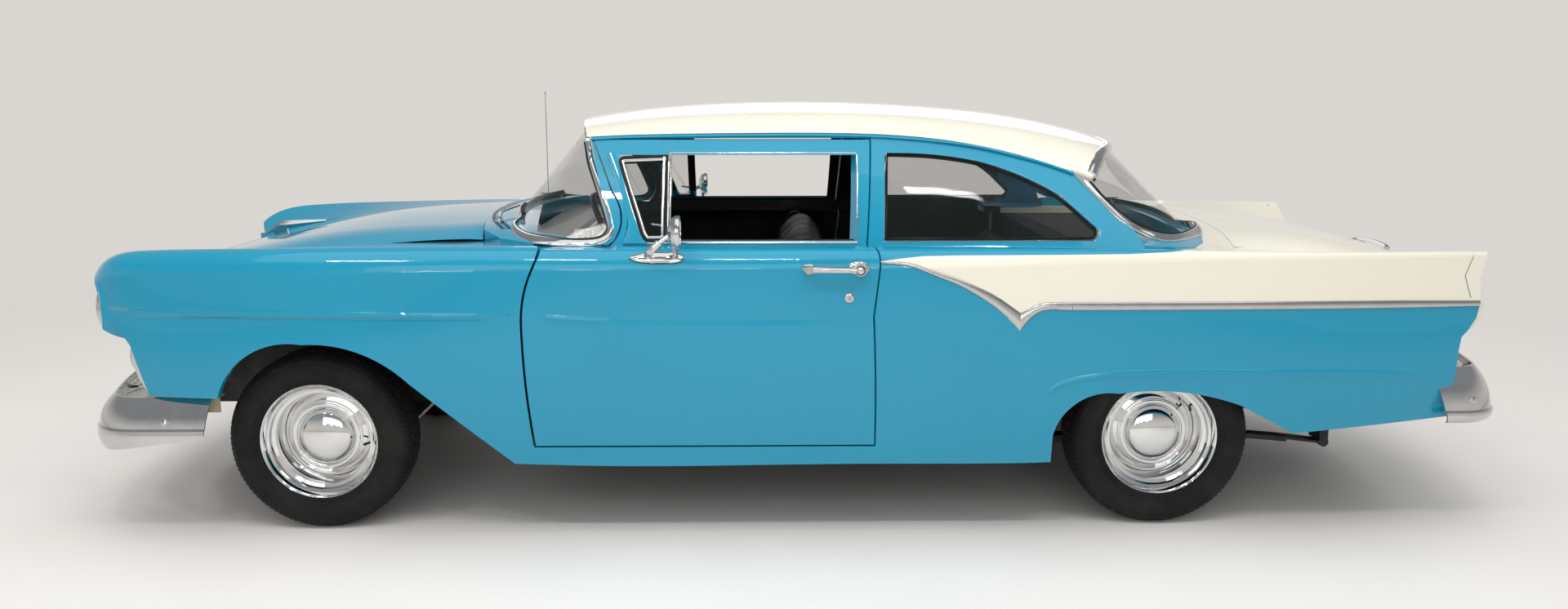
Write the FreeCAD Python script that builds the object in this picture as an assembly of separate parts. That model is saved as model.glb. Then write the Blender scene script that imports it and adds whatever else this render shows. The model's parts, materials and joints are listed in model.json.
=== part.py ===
"""Two-door sedan of the late 1950s, in millimetres, standing on its tyres.

The frame is +X forward, +Y to the car's left, +Z up. Every length along the car is first written
from the front axle, where x is 0, and each shape is moved by AXLE_X when it is saved, so that the
origin ends under the middle of the car, on the floor.
"""
import FreeCAD, Part
import math
import os

V = FreeCAD.Vector

# ---------------------------------------------------------------- driving sizes
WHEELBASE = 2946.0
NOSE_X = 905.0                   # the front bumper's foremost point
STERN_X = -4235.0                # the rear bumper's rearmost point
AXLE_X = -(NOSE_X + STERN_X) / 2
TYRE_RADIUS = 318.0
FRONT_WHEEL_Y = 750.0            # middle of the tread
REAR_WHEEL_Y = 748.0
SHUT_GAP = 6.0                   # between a moving panel and its neighbours
DOOR_FRONT_GAP = 8.0
FENDER_WALL = 26.0
DOOR_WALL = 80.0
QUARTER_WALL = 40.0
ROOF_WALL = 24.0
LID_WALL = 22.0
PILLAR_WALL = 44.0
GLASS = 6.0
KINGPIN_Y = 622.0
KINGPIN_RADIUS = 14.0
SHUT_SLANT = math.tan(math.radians(20.0))   # shut faces run rearwards as they go outwards
SLANT_PLANE_Y = 950.0

# The body side, front to rear. Each row is one upright section of the left half:
# x, inner edge y z, crest y z radius, crease y z step, bulge y z, sill y z
SIDE_ROWS = (
    (775, 600, 830, 700, 890, 60, 762, 790, 3, 762, 600, 740, 400),
    (680, 610, 880, 765, 968, 70, 838, 802, 6, 838, 600, 820, 400),
    (540, 620, 918, 805, 990, 78, 888, 803, 8, 890, 590, 875, 400),
    (200, 625, 966, 845, 1000, 85, 936, 803, 9, 935, 560, 905, 253),
    (-240, 630, 990, 862, 1008, 85, 955, 800, 8, 950, 550, 915, 253),
    (-914, 640, 1000, 890, 1010, 78, 968, 777, 0, 958, 540, 921, 255),
    (-1900, 640, 1000, 902, 1008, 70, 972, 772, 0, 962, 540, 923, 257),
    (-2600, 640, 995, 918, 1004, 50, 968, 775, 0, 962, 550, 925, 262),
    (-3300, 641, 965, 930, 992, 26, 956, 782, 0, 958, 560, 925, 330),
    (-3800, 641, 912, 909, 988, 19, 928, 790, 0, 932, 560, 900, 385),
    (-4060, 641, 868, 886, 985, 14, 900, 795, 0, 895, 560, 865, 400),
)

# The roof and the pillars under it: x, middle z, edge y z, belt y
ROOF_ROWS = (
    (-780, 1402, 606, 1350, 835),
    (-1000, 1440, 640, 1368, 848),
    (-1450, 1474, 656, 1378, 855),
    (-1900, 1474, 660, 1376, 858),
    (-2300, 1450, 665, 1336, 860),
    (-2600, 1410, 680, 1256, 862),
    (-2900, 1330, 700, 1130, 862),
)

# The hood, the cowl, then the deck and trunk lid: x, middle z, edge y z
HOOD_ROWS = (
    (860, 754, 588, 734),
    (700, 858, 602, 834),
    (540, 915, 613, 900),
    (200, 992, 619, 962),
    (-180, 1038, 621, 986),
    (-600, 1068, 627, 997),
)
COWL_ROWS = (
    (-460, 1056, 760, 984),
    (-566, 1066, 800, 996),
    (-800, 1062, 860, 1003),
    (-1060, 1040, 872, 1004),
)
DECK_ROWS = (
    (-2840, 1045, 850, 1004),
    (-3100, 1040, 760, 985),
    (-3300, 1030, 634, 962),
    (-3500, 1018, 634, 944),
    (-3800, 967, 634, 909),
    (-4120, 866, 634, 852),
)
HOOD_BACK = (-557.0, -495.0)     # x of the hood's rear edge at its corners and its middle
LID_FRONT = -3240.0
LID_HALF = 634.5                 # half the trunk lid's width

# Glass, as plan curves at three heights: z, middle x, then x y of the front arc's end,
# the corner's middle, the corner's end and the side's end
SCREEN_ROWS = (
    (1008, -545, -645, 600, -728, 745, -845, 830, -1075, 846),
    (1200, -703, -778, 520, -842, 655, -925, 716, -1075, 734),
    (1400, -872, -915, 430, -950, 540, -1000, 596, -1075, 616),
)
BACKLIGHT_ROWS = (
    (985, -3192, -3136, 572, -3066, 762, -2962, 836, -2740, 860),
    (1170, -3032, -2970, 480, -2904, 640, -2816, 720, -2640, 765),
    (1330, -2888, -2824, 400, -2767, 520, -2700, 590, -2540, 640),
)

# Side-view outlines, x z
NOSE_EDGE = ((757, 1100), (757, 912), (733, 847), (694, 808), (670, 774), (649, 726), (607, 677),
             (602, 669), (544, 495), (544, 300), (1000, 300), (1000, 1100))
TAIL_EDGE = ((-4008, 1100), (-4008, 990), (-3986, 893), (-3994, 850), (-3994, 800), (-3985, 760),
             (-3955, 715), (-3935, 695), (-3928, 640), (-3928, 300), (-4300, 300), (-4300, 1100))
QUARTER_PANE = ((-1976, 1310), (-1963, 1018), (-2685, 1018), (-2706, 1050), (-2579, 1167),
                (-2440, 1236), (-2308, 1280), (-2140, 1305))
QUARTER_BENDS = (5, 7)           # points of the outline that are the middles of arcs

# The door's outline, x y z at the outer skin
DOOR_EDGE = (
    (-771, 925, 329), (-752, 962, 600), (-749, 968, 751), (-772, 964, 900), (-812, 925, 1003),
    (-1046, 890, 1003), (-1076, 822, 1084), (-1038, 762, 1182), (-965, 655, 1355),
    (-1920, 660, 1355), (-1911, 880, 1003), (-1917, 970, 780), (-1925, 925, 329),
)
DOOR_BENDS = (1, 3, 6)
DOOR_PANE = ((-1080, 840, 1030), (-1090, 815, 1084), (-1062, 762, 1182), (-1016, 690, 1304),
             (-1872, 690, 1304), (-1866, 850, 1022), (-1100, 850, 1022))
VENT_HOLE = ((-1094, 835, 1044), (-1102, 815, 1084), (-1078, 762, 1182), (-1034, 700, 1290),
             (-1132, 700, 1290), (-1158, 835, 1044))

# What the windscreen and the rear window fill, seen from the side, x z
SCREEN_AREA = ((-480, 1450), (-950, 1450), (-950, 1352), (-994, 1182), (-1036, 1040),
               (-1028, 1022), (-1000, 1014), (-480, 1014))
BACKLIGHT_AREA = ((-2630, 1250), (-2666, 1210), (-2830, 1046), (-2842, 1020), (-2860, 992),
                  (-3400, 992), (-3400, 1500), (-2630, 1500))
PANE_BENDS = (1,)

# Lamps
HEADLAMP = (712.0, 785.0, 98.0)  # y, z and the bowl's radius
TAIL_LAMP = (796.0, 791.0, 98.0)  # y, z and the bezel's radius

# Bumpers: foremost or rearmost x, radius of the long bow, radius of the corner, side y, end x
FRONT_BUMPER = (NOSE_X, 2455.0, 200.0, 948.0, 328.0)
REAR_BUMPER = (STERN_X, 3000.0, 170.0, 945.0, -3858.0)
# the bar: top, ridge and bottom z, inward lean at top and bottom, middle z of its irons
FRONT_BAR = (492.0, 388.0, 300.0, 62.0, 20.0, 395.0)
REAR_BAR = (580.0, 432.0, 395.0, 72.0, 14.0, 419.0)
IRON_HALF_HEIGHT = 19.0


# ---------------------------------------------------------------- small helpers
def box(x0, x1, y0, y1, z0, z1):
    low = V(min(x0, x1), min(y0, y1), min(z0, z1))
    return Part.makeBox(abs(x1 - x0), abs(y1 - y0), abs(z1 - z0), low)


def rod(start, end, radius):
    start, end = V(*start), V(*end)
    return Part.makeCylinder(radius, (end - start).Length, start, end - start)


def line(a, b):
    return Part.LineSegment(a, b).toShape()


def arc(a, middle, b):
    return Part.Arc(a, middle, b).toShape()


def polygon(points):
    return Part.Wire(Part.makePolygon(list(points) + [points[0]]).Edges)


def outline(points, bends=()):
    """A closed wire through the points, where each point in bends is the middle of an arc."""
    edges, i, count = [], 0, len(points)
    while i < count:
        if i + 1 in bends:
            edges.append(arc(points[i], points[i + 1], points[(i + 2) % count]))
            i += 2
        else:
            edges.append(line(points[i], points[(i + 1) % count]))
            i += 1
    return Part.Wire(edges)


def side_prism(points, y0, y1, bends=()):
    """A prism across the car from x z points."""
    wire = outline([V(x, y0, z) for x, z in points], bends)
    return Part.Face(wire).extrude(V(0, y1 - y0, 0))


def plan_prism(points, z0, z1):
    """An upright prism from x y points."""
    return Part.Face(polygon([V(x, y, z0) for x, y in points])).extrude(V(0, 0, z1 - z0))


def cross_prism(points, x0, x1):
    """A prism along the car from y z points."""
    return Part.Face(polygon([V(x0, y, z) for y, z in points])).extrude(V(x1 - x0, 0, 0))


def slant_prism(points, bends, grow=0.0):
    """A prism along the shut faces from x y z points on the outer skin, grown outwards in x z."""
    flat = [(x - (SLANT_PLANE_Y - y) * SHUT_SLANT, z) for x, y, z in points]
    if grow:
        flat = grown(flat, grow)
    start, end = 350.0, 1150.0
    offset = (SLANT_PLANE_Y - start) * SHUT_SLANT
    wire = outline([V(x + offset, start, z) for x, z in flat], bends)
    return Part.Face(wire).extrude(V(-(end - start) * SHUT_SLANT, end - start, 0))


def grown(points, by):
    """The outline pushed outwards by a distance, corner by corner."""
    count = len(points)
    area = sum(points[i][0] * points[(i + 1) % count][1] - points[(i + 1) % count][0] * points[i][1]
               for i in range(count))
    side = 1.0 if area > 0 else -1.0
    result = []
    for i in range(count):
        before, here, after = points[i - 1], points[i], points[(i + 1) % count]
        normals = []
        for a, b in ((before, here), (here, after)):
            dx, dz = b[0] - a[0], b[1] - a[1]
            length = math.hypot(dx, dz)
            normals.append((side * dz / length, -side * dx / length))
        (ax, az), (bx, bz) = normals
        scale = by / (1.0 + ax * bx + az * bz)
        result.append((here[0] + (ax + bx) * scale, here[1] + (az + bz) * scale))
    return result


def mirrored(shape):
    return shape.mirror(V(0, 0, 0), V(0, 1, 0))


def loft(wires, ruled=False):
    return Part.makeLoft(wires, True, ruled)


def fuse(*shapes):
    result = shapes[0].multiFuse(list(shapes[1:]))
    return result.removeSplitter()


def largest(shape):
    """The largest solid of a shape, without the slivers that a cut may leave."""
    return max(shape.Solids, key=lambda solid: solid.Volume)


def revolved(points, origin, axis):
    """A ring turned about an axis from (radius, along) points."""
    profile = polygon([V(radius, 0, along) for radius, along in points])
    solid = Part.Face(profile).revolve(V(0, 0, 0), V(0, 0, 1), 360)
    solid.Placement = FreeCAD.Placement(V(*origin), FreeCAD.Rotation(V(0, 0, 1), V(*axis)))
    return solid


def save(name, shape):
    shape = shape.copy()
    shape.translate(V(AXLE_X, 0, 0))
    solids = shape.Solids
    shape = solids[0] if len(solids) == 1 else Part.makeCompound(solids)
    shape.exportStep("parts/" + name + ".step")


# ---------------------------------------------------------------- body sections
def side_wire(row):
    """One closed section of the left body side, from its inner edge round to its sill."""
    x, in_y, in_z, top_y, top_z, top_r, side_y, side_z, step, low_y, low_z, sill_y, sill_z = row
    centre_z = top_z - top_r
    reach = math.hypot(side_y - top_y, side_z - centre_z)
    turn = math.atan2(side_z - centre_z, side_y - top_y) + math.acos(top_r / reach)
    middle = (math.pi / 2 + turn) / 2
    inner_top, crest = V(x, in_y, in_z), V(x, top_y, top_z)
    shoulder_mid = V(x, top_y + top_r * math.cos(middle), centre_z + top_r * math.sin(middle))
    shoulder = V(x, top_y + top_r * math.cos(turn), centre_z + top_r * math.sin(turn))
    crease = V(x, side_y, side_z)
    under = V(x, side_y - step, side_z - 16)
    bulge = V(x, low_y, low_z)
    sill = V(x, sill_y, sill_z)
    inner_low = V(x, in_y, sill_z)
    return Part.Wire([line(inner_top, crest), arc(crest, shoulder_mid, shoulder),
                      line(shoulder, crease), line(crease, under), arc(under, bulge, sill),
                      line(sill, inner_low), line(inner_low, inner_top)])


def side_inside(wall, top_wall, first, last, ledge_y=None):
    """What is cut from the body side to leave a wall and, with no ledge_y, a closed top."""
    wires = []
    for row in SIDE_ROWS[first:last]:
        x, in_y, in_z, top_y, top_z, top_r, side_y, side_z, step, low_y, low_z, sill_y, sill_z = row
        points = [(300, 0), (sill_y - wall, 0), (low_y - wall, low_z), (side_y - step - wall, side_z)]
        if ledge_y:
            points += [(side_y - wall, 935), (ledge_y, 960), (ledge_y, 1100), (300, 1100)]
        else:
            points += [(top_y, top_z - top_wall - 0.2 * top_r), (in_y - 40, in_z - top_wall),
                       (300, in_z - top_wall)]
        wires.append(polygon([V(x, y, z) for y, z in points]))
    return loft(wires, True)


def crown_points(middle_z, edge_y, edge_z, share=0.68):
    """Two tangent arcs from the middle to the edge: the corner point and the edge arc's middle."""
    drop = middle_z - edge_z
    radius = (edge_y ** 2 + drop ** 2) / (2 * drop) * 1.9
    y1 = share * edge_y
    lean = math.asin(y1 / radius)
    ny, nz = math.sin(lean), math.cos(lean)
    centre_z = middle_z - radius
    wy, wz = edge_y, edge_z - centre_z
    along = wy * ny + wz * nz
    small = (wy ** 2 + wz ** 2 - 2 * radius * along + radius ** 2) / (2 * (radius - along))
    cy, cz = (radius - small) * ny, centre_z + (radius - small) * nz
    end = math.atan2(edge_y - cy, edge_z - cz)
    half = (lean + end) / 2
    corner = (radius * ny, centre_z + radius * nz)
    edge_mid = (cy + small * math.sin(half), cz + small * math.cos(half))
    return corner, edge_mid


def crown_wire(x, middle_z, edge_y, edge_z, wall):
    """A closed crowned section across the car: arcs above, and the same arcs lower below."""
    (y1, z1), (y2, z2) = crown_points(middle_z, edge_y, edge_z)
    e, t = edge_y, wall
    inner = e - 0.9 * t
    return Part.Wire([
        arc(V(x, -e, edge_z), V(x, -y2, z2), V(x, -y1, z1)),
        arc(V(x, -y1, z1), V(x, 0, middle_z), V(x, y1, z1)),
        arc(V(x, y1, z1), V(x, y2, z2), V(x, e, edge_z)),
        line(V(x, e, edge_z), V(x, inner, edge_z)),
        arc(V(x, inner, edge_z), V(x, y2 - 0.5 * t, z2 - 0.8 * t), V(x, y1, z1 - t)),
        arc(V(x, y1, z1 - t), V(x, 0, middle_z - t), V(x, -y1, z1 - t)),
        arc(V(x, -y1, z1 - t), V(x, -y2 + 0.5 * t, z2 - 0.8 * t), V(x, -inner, edge_z)),
        line(V(x, -inner, edge_z), V(x, -e, edge_z))])


def slab_wire(x, middle_z, edge_y, edge_z, wall):
    """A crowned section whose underside is as far below its top all the way across."""
    (y1, z1), (y2, z2) = crown_points(middle_z, edge_y, edge_z)
    e, t = edge_y, wall
    return Part.Wire([
        arc(V(x, -e, edge_z), V(x, -y2, z2), V(x, -y1, z1)),
        arc(V(x, -y1, z1), V(x, 0, middle_z), V(x, y1, z1)),
        arc(V(x, y1, z1), V(x, y2, z2), V(x, e, edge_z)),
        line(V(x, e, edge_z), V(x, e, edge_z - t)),
        arc(V(x, e, edge_z - t), V(x, y2, z2 - t), V(x, y1, z1 - t)),
        arc(V(x, y1, z1 - t), V(x, 0, middle_z - t), V(x, -y1, z1 - t)),
        arc(V(x, -y1, z1 - t), V(x, -y2, z2 - t), V(x, -e, edge_z - t)),
        line(V(x, -e, edge_z - t), V(x, -e, edge_z))])


def pillar_wire(row, inset, wall):
    """A closed section of the left side above the belt, set in from the outer face."""
    x, middle_z, edge_y, edge_z, belt_y = row
    top_y, belt_y = edge_y - 3 - inset, belt_y - inset
    mid_y, mid_z = (top_y + belt_y) / 2 + 9, (edge_z + 995) / 2
    return Part.Wire([
        arc(V(x, belt_y, 995), V(x, mid_y, mid_z), V(x, top_y, edge_z)),
        line(V(x, top_y, edge_z), V(x, top_y - wall, edge_z)),
        arc(V(x, top_y - wall, edge_z), V(x, mid_y - wall, mid_z), V(x, belt_y - wall, 995)),
        line(V(x, belt_y - wall, 995), V(x, belt_y, 995))])


def glass_wire(row, inset=0.0, thickness=GLASS):
    """A closed plan curve of wrapped glass, its open side to the rear or to the front."""
    z, middle_x, ax, ay, mx, my, bx, by, ex, ey = row
    way = 1.0 if ax < middle_x else -1.0

    def edges(depth):
        middle = V(middle_x - way * depth, 0, z)
        left = [V(ax - way * depth, ay - 0.3 * depth, z),
                V(mx - way * 0.75 * depth, my - 0.75 * depth, z),
                V(bx - way * 0.3 * depth, by - depth, z),
                V(ex, ey - depth, z)]
        right = [V(p.x, -p.y, z) for p in left]
        run = [line(right[3], right[2]), arc(right[2], right[1], right[0]),
               arc(right[0], middle, left[0]), arc(left[0], left[1], left[2]),
               line(left[2], left[3])]
        return run, left[3], right[3]

    outer, outer_left, outer_right = edges(inset)
    inner, inner_left, inner_right = edges(inset + thickness)
    return Part.Wire(outer + [line(outer_left, inner_left)] + inner[::-1]
                     + [line(inner_right, outer_right)])


def bow_path(nose_x, bow_radius, corner_radius, side_y, end_x, z):
    """A plan path round the car's end: side line, corner arc, long bow, and back again."""
    way = 1.0 if nose_x > 0 else -1.0
    centre_x = nose_x - way * bow_radius
    corner_y = side_y - corner_radius
    corner_x = centre_x + way * math.sqrt((bow_radius - corner_radius) ** 2 - corner_y ** 2)
    lean = math.atan2(corner_y, abs(corner_x - centre_x))
    half = (lean + math.pi / 2) / 2
    meet = V(centre_x + way * bow_radius * math.cos(lean), bow_radius * math.sin(lean), z)
    turn = V(corner_x + way * corner_radius * math.cos(half),
             corner_y + corner_radius * math.sin(half), z)
    side, end = V(corner_x, side_y, z), V(end_x, side_y, z)

    def far(point):
        return V(point.x, -point.y, z)

    return Part.Wire([line(end, side), arc(side, turn, meet), arc(meet, V(nose_x, 0, z), far(meet)),
                      arc(far(meet), far(turn), far(side)), line(far(side), far(end))])


def swept(edges, path):
    """A closed section of edges carried along a path."""
    return path.makePipeShell([Part.Wire(edges)], True, False)


# ---------------------------------------------------------------- outer body
def front_arch():
    """The front wheel opening and all below the fender, left side."""
    edges = [line(V(1000, 500, 498), V(298, 500, 498)),
             arc(V(298, 500, 498), V(205, 500, 634), V(-2, 500, 686)),
             arc(V(-2, 500, 686), V(-190, 500, 660), V(-355, 500, 554)),
             line(V(-355, 500, 554), V(-712, 500, 250)),
             line(V(-712, 500, 250), V(-712, 500, -50)),
             line(V(-712, 500, -50), V(1000, 500, -50)),
             line(V(1000, 500, -50), V(1000, 500, 498))]
    return Part.Face(Part.Wire(edges)).extrude(V(0, 600, 0))


def rear_arch():
    """The rear wheel opening and all below the quarter panel, left side."""
    edges = [line(V(-2540, 500, -50), V(-2542, 500, 360)),
             arc(V(-2542, 500, 360), V(-2610, 500, 472), V(-2758, 500, 510)),
             arc(V(-2758, 500, 510), V(-2990, 500, 512), V(-3182, 500, 464)),
             line(V(-3182, 500, 464), V(-3376, 500, 359)),
             line(V(-3376, 500, 359), V(-3950, 500, 410)),
             line(V(-3950, 500, 410), V(-4300, 500, 410)),
             line(V(-4300, 500, 410), V(-4300, 500, -50)),
             line(V(-4300, 500, -50), V(-2540, 500, -50))]
    return Part.Face(Part.Wire(edges)).extrude(V(0, 600, 0))


def bowed_cutter(x_side, x_middle, x_far, half_width=640.0):
    """Everything from a bowed edge across the car out to x_far, over all heights."""
    side, far = V(x_side, half_width, 0), V(x_far, half_width, 0)
    right, far_right = V(x_side, -half_width, 0), V(x_far, -half_width, 0)
    wire = Part.Wire([arc(right, V(x_middle, 0, 0), side), line(side, far),
                      line(far, far_right), line(far_right, right)])
    return Part.Face(wire).extrude(V(0, 0, 1800))


def cowl_room(gap=0.0):
    """The cowl's plan, from the hood's rear edge round the windscreen's foot."""
    corner, middle = HOOD_BACK[0] - gap, HOOD_BACK[1] - gap
    left = [V(corner, 640, 900), V(-640, 752, 900), V(-800, 842, 900), V(-1060, 868, 900)]
    right = [V(p.x, -p.y, p.z) for p in left]
    run = [arc(right[0], V(middle, 0, 900), left[0])]
    run += [line(a, b) for a, b in zip(left, left[1:])]
    run += [line(left[-1], right[-1])]
    run += [line(a, b) for a, b in zip(right[::-1], right[-2::-1])]
    return Part.Face(Part.Wire(run)).extrude(V(0, 0, 300))


SIDE = loft([side_wire(row) for row in SIDE_ROWS])


def fender():
    """The front fender: side, top out to the hood's edge, brow over the lamp."""
    shape = SIDE.common(box(-900, 800, 500, 1100, 200, 1150))
    shape = shape.cut(side_prism(NOSE_EDGE, 400, 1100))
    brow = Part.Face(Part.Wire([
        line(V(1000, 400, 700), V(690, 400, 700)), line(V(690, 400, 700), V(700, 625, 700)),
        arc(V(700, 625, 700), V(742, 688, 700), V(757, 770, 700)),
        line(V(757, 770, 700), V(1000, 770, 700)), line(V(1000, 770, 700), V(1000, 400, 700))]))
    shape = shape.cut(brow.extrude(V(0, 0, 500)))
    shape = shape.cut(front_arch())
    shape = shape.cut(slant_prism(DOOR_EDGE, DOOR_BENDS, DOOR_FRONT_GAP))
    behind = ((-1300, 1200), (-870, 1200), (-870, 1030), (-860, 960), (-1300, 960))
    shape = shape.cut(side_prism(behind, 400, 1100))
    shape = shape.cut(side_prism(((-764, 340), (-764, 100), (-1300, 100), (-1300, 340)), 400, 1100))
    shape = shape.cut(side_inside(FENDER_WALL, FENDER_WALL, 1, 6))
    shape = shape.cut(box(-620, 0, 400, 600, 0, 1200))
    shape = shape.cut(cowl_room())
    y, z, radius = HEADLAMP
    return shape.cut(rod((620, y, z), (800, y, z), radius + 4))


def headlamp_bezel(left_fender):
    """The left lamp's painted housing under the brow: rounded in side, front and plan view."""
    y, z, radius = HEADLAMP
    front = Part.Wire([
        line(V(600, 500, 880), V(730, 500, 880)), line(V(730, 500, 880), V(739, 500, 847)),
        arc(V(739, 500, 847), V(749, 500, 808), V(742, 500, 764)),
        arc(V(742, 500, 764), V(694, 500, 704), V(617, 500, 673)),
        line(V(617, 500, 673), V(600, 500, 673)), line(V(600, 500, 673), V(600, 500, 880))])
    shape = Part.Face(front).extrude(V(0, 500, 0))
    reach, corner = 124.0, 96.0
    flat = reach - corner
    cut = corner * (1 - math.sqrt(0.5))
    steps = ((1, 1), (-1, 1), (-1, -1), (1, -1))
    edges, last = [], None
    for i, (a, b) in enumerate(steps):
        sides = [V(600, y + a * reach, z + b * flat), V(600, y + a * flat, z + b * reach)]
        first, second = sides if i % 2 == 0 else sides[::-1]
        if last:
            edges.append(line(last, first))
        edges.append(arc(first, V(600, y + a * (reach - cut), z + b * (reach - cut)), second))
        last = second
    edges.append(line(last, edges[0].Vertexes[0].Point))
    shape = shape.common(Part.Face(Part.Wire(edges)).extrude(V(200, 0, 0)))
    plan = Part.Wire([arc(V(706, y - 130, 600), V(752, y, 600), V(702, y + 130, 600)),
                      line(V(702, y + 130, 600), V(590, y + 130, 600)),
                      line(V(590, y + 130, 600), V(590, y - 130, 600)),
                      line(V(590, y - 130, 600), V(706, y - 130, 600))])
    shape = shape.common(Part.Face(plan).extrude(V(0, 0, 400)))
    shape = shape.cut(rod((560, y, z), (800, y, z), radius)).cut(left_fender)
    hood_corner = box(560, 800, 500, 616, 822, 900)
    return largest(shape.cut(hood_corner))


def body_side():
    """Sill, lock pillar, roof rail, rear pillar, quarter panel and fin, as one pressing."""
    lower = SIDE.common(box(-4100, -764, 500, 1100, 200, 1150))
    lower = lower.cut(side_prism(TAIL_EDGE, 400, 1100))
    lower = lower.cut(rear_arch())
    cabin = side_inside(DOOR_WALL, 40, 4, 8, ledge_y=800).common(box(-2560, -700, 300, 1100, 0, 1200))
    quarter = side_inside(QUARTER_WALL, 30, 6, 11).common(box(-3908, -2560, 300, 1100, 0, 1200))
    doorway = side_prism(((-700, 1200), (-700, 330), (-1900, 330), (-1900, 1200)), 400, 1100)
    for inside in (cabin, quarter, doorway):
        lower = lower.cut(inside)
    lower = lower.cut(slant_prism(DOOR_EDGE, DOOR_BENDS, SHUT_GAP))
    upper = loft([pillar_wire(row, 0, PILLAR_WALL) for row in ROOF_ROWS])
    upper = upper.cut(slant_prism(DOOR_EDGE, DOOR_BENDS, SHUT_GAP))
    for area, bends in ((QUARTER_PANE, QUARTER_BENDS), (SCREEN_AREA, ()), (BACKLIGHT_AREA, ())):
        upper = upper.cut(side_prism(area, 0, 1100, bends))
    upper = upper.cut(box(-780, -1100, 0, 1100, 900, 1009))
    return largest(fuse(lower, upper))


def door():
    """The left door: skin and box below, window frame above."""
    edge = slant_prism(DOOR_EDGE, DOOR_BENDS)
    lower = SIDE.common(edge).cut(side_inside(DOOR_WALL, 40, 4, 8, ledge_y=800))
    upper = loft([pillar_wire(row, 0, PILLAR_WALL) for row in ROOF_ROWS]).common(edge)
    pane = slant_prism(DOOR_PANE, PANE_BENDS)
    return largest(fuse(lower.cut(pane), upper.cut(pane)))


def vent_window():
    """The hinged front pane of the door: bright frame, division bar and glass."""
    rows = ROOF_ROWS[:4]
    reach = slant_prism(DOOR_PANE, PANE_BENDS).common(box(-1000, -1186, 0, 1100, 900, 1400))
    sheet = loft([pillar_wire(row, 8, 26) for row in rows]).common(reach)
    hole = slant_prism(VENT_HOLE, PANE_BENDS)
    glass = loft([pillar_wire(row, 18, GLASS) for row in rows]).common(hole)
    return fuse(sheet.cut(hole), glass)


def door_fittings(left_door, left_vent):
    """The round mirror on its foot and the pull handle with its two posts, on the left door."""
    head = revolved([(0, 0), (55, 0), (55, 8), (48, 22), (28, 34), (0, 38)],
                    (-1276, 1000, 1070), (1, 0, 0))
    stem = rod((-1258, 992, 1030), (-1262, 942, 980), 8)
    foot = side_prism(((-1109, 974), (-1195, 990), (-1262, 990), (-1284, 974), (-1262, 959),
                       (-1195, 959)), 915, 950, (1, 4))
    handle = box(-1700, -1874, 996, 1010, 935, 953)
    posts = [rod((x, 950, 944), (x, 1014, 944), radius) for x, radius in ((-1702, 13), (-1872, 20))]
    pieces = (fuse(head, stem, foot), fuse(handle, *posts))
    return Part.makeCompound([largest(p.cut(left_door).cut(left_vent)) for p in pieces])


def roof():
    """The roof panel with its brow over the windscreen and its curved rear edge."""
    shell = loft([crown_wire(*row[:4], ROOF_WALL) for row in ROOF_ROWS])
    shell = shell.cut(bowed_cutter(-953, -870, -500, 720))
    return shell.cut(bowed_cutter(-2655, -2905, -3200, 760))


def hood():
    """The hood, hinged at its nose, with its rear edge bowed round the windscreen."""
    shell = loft([crown_wire(*row, LID_WALL) for row in HOOD_ROWS])
    shell = shell.cut(bowed_cutter(706, 748, 1000))
    return shell.cut(bowed_cutter(HOOD_BACK[0], HOOD_BACK[1], -1000))


def hood_ornament():
    """A plain bright spear along the middle of the hood, on one foot: three diamond sections."""
    wires = []
    for x, half, z, rise in ((462, 2.5, 950, 3), (400, 16, 985, 18), (216, 3, 1003, 5)):
        wires.append(polygon([V(x, -half, z), V(x, 0, z - rise), V(x, half, z), V(x, 0, z + rise)]))
    foot = box(372, 424, -7, 7, 930, 985)
    return fuse(loft(wires, True), foot)


def cowl():
    """The panel between the hood and the windscreen, with its raised rim under the glass."""
    shell = loft([slab_wire(*row, 60) for row in COWL_ROWS]).common(cowl_room(SHUT_GAP))
    opening = plan_prism(((-900, 760), (-760, 700), (-660, 0), (-760, -700), (-900, -760),
                          (-1200, -760), (-1200, 760)), 900, 1200)
    shell = shell.cut(opening)
    doors = slant_prism(DOOR_EDGE, DOOR_BENDS, DOOR_FRONT_GAP)
    shell = shell.cut(doors).cut(mirrored(doors))
    for side in (1, -1):
        shell = shell.cut(box(-780, -1200, side * 700, side * 1000, 900, 1009))
    return largest(shell)


def deck():
    """The panel round the foot of the rear window, up to the trunk lid."""
    shell = loft([slab_wire(*row, 40) for row in DECK_ROWS])
    shell = shell.cut(box(LID_FRONT + SHUT_GAP, -4300, -700, 700, 0, 1500))
    return shell.cut(box(-2000, -3050, -700, 700, 0, 1500))


def trunk_lid():
    """The trunk lid, whose rear edge bows out between the fins."""
    shell = loft([crown_wire(*row, LID_WALL) for row in DECK_ROWS[1:]])
    shell = shell.common(box(LID_FRONT, -4300, -LID_HALF, LID_HALF, 0, 1500))
    return shell.cut(bowed_cutter(-4032, -4086, -4300, 660))


def bowed_plate(x_side, x_middle, half_width, z0, z1, wall):
    """An upright plate across the car, bowed outwards in plan."""
    way = 1.0 if x_middle > x_side else -1.0
    outer = [V(x_side, -half_width, z0), V(x_middle, 0, z0), V(x_side, half_width, z0)]
    inner = [p - V(way * wall, 0, 0) for p in outer]
    wire = Part.Wire([arc(*outer), line(outer[2], inner[2]), arc(*inner[::-1]),
                      line(inner[0], outer[0])])
    return Part.Face(wire).extrude(V(0, 0, z1 - z0))


def front_panel():
    """The painted panel between the lamps, above the grille and below the hood's nose."""
    face = bowed_plate(672, 738, 640, 700, 798, 14)
    shelf = bowed_plate(672, 738, 640, 700, 712, 120)
    return fuse(face, shelf)


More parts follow.
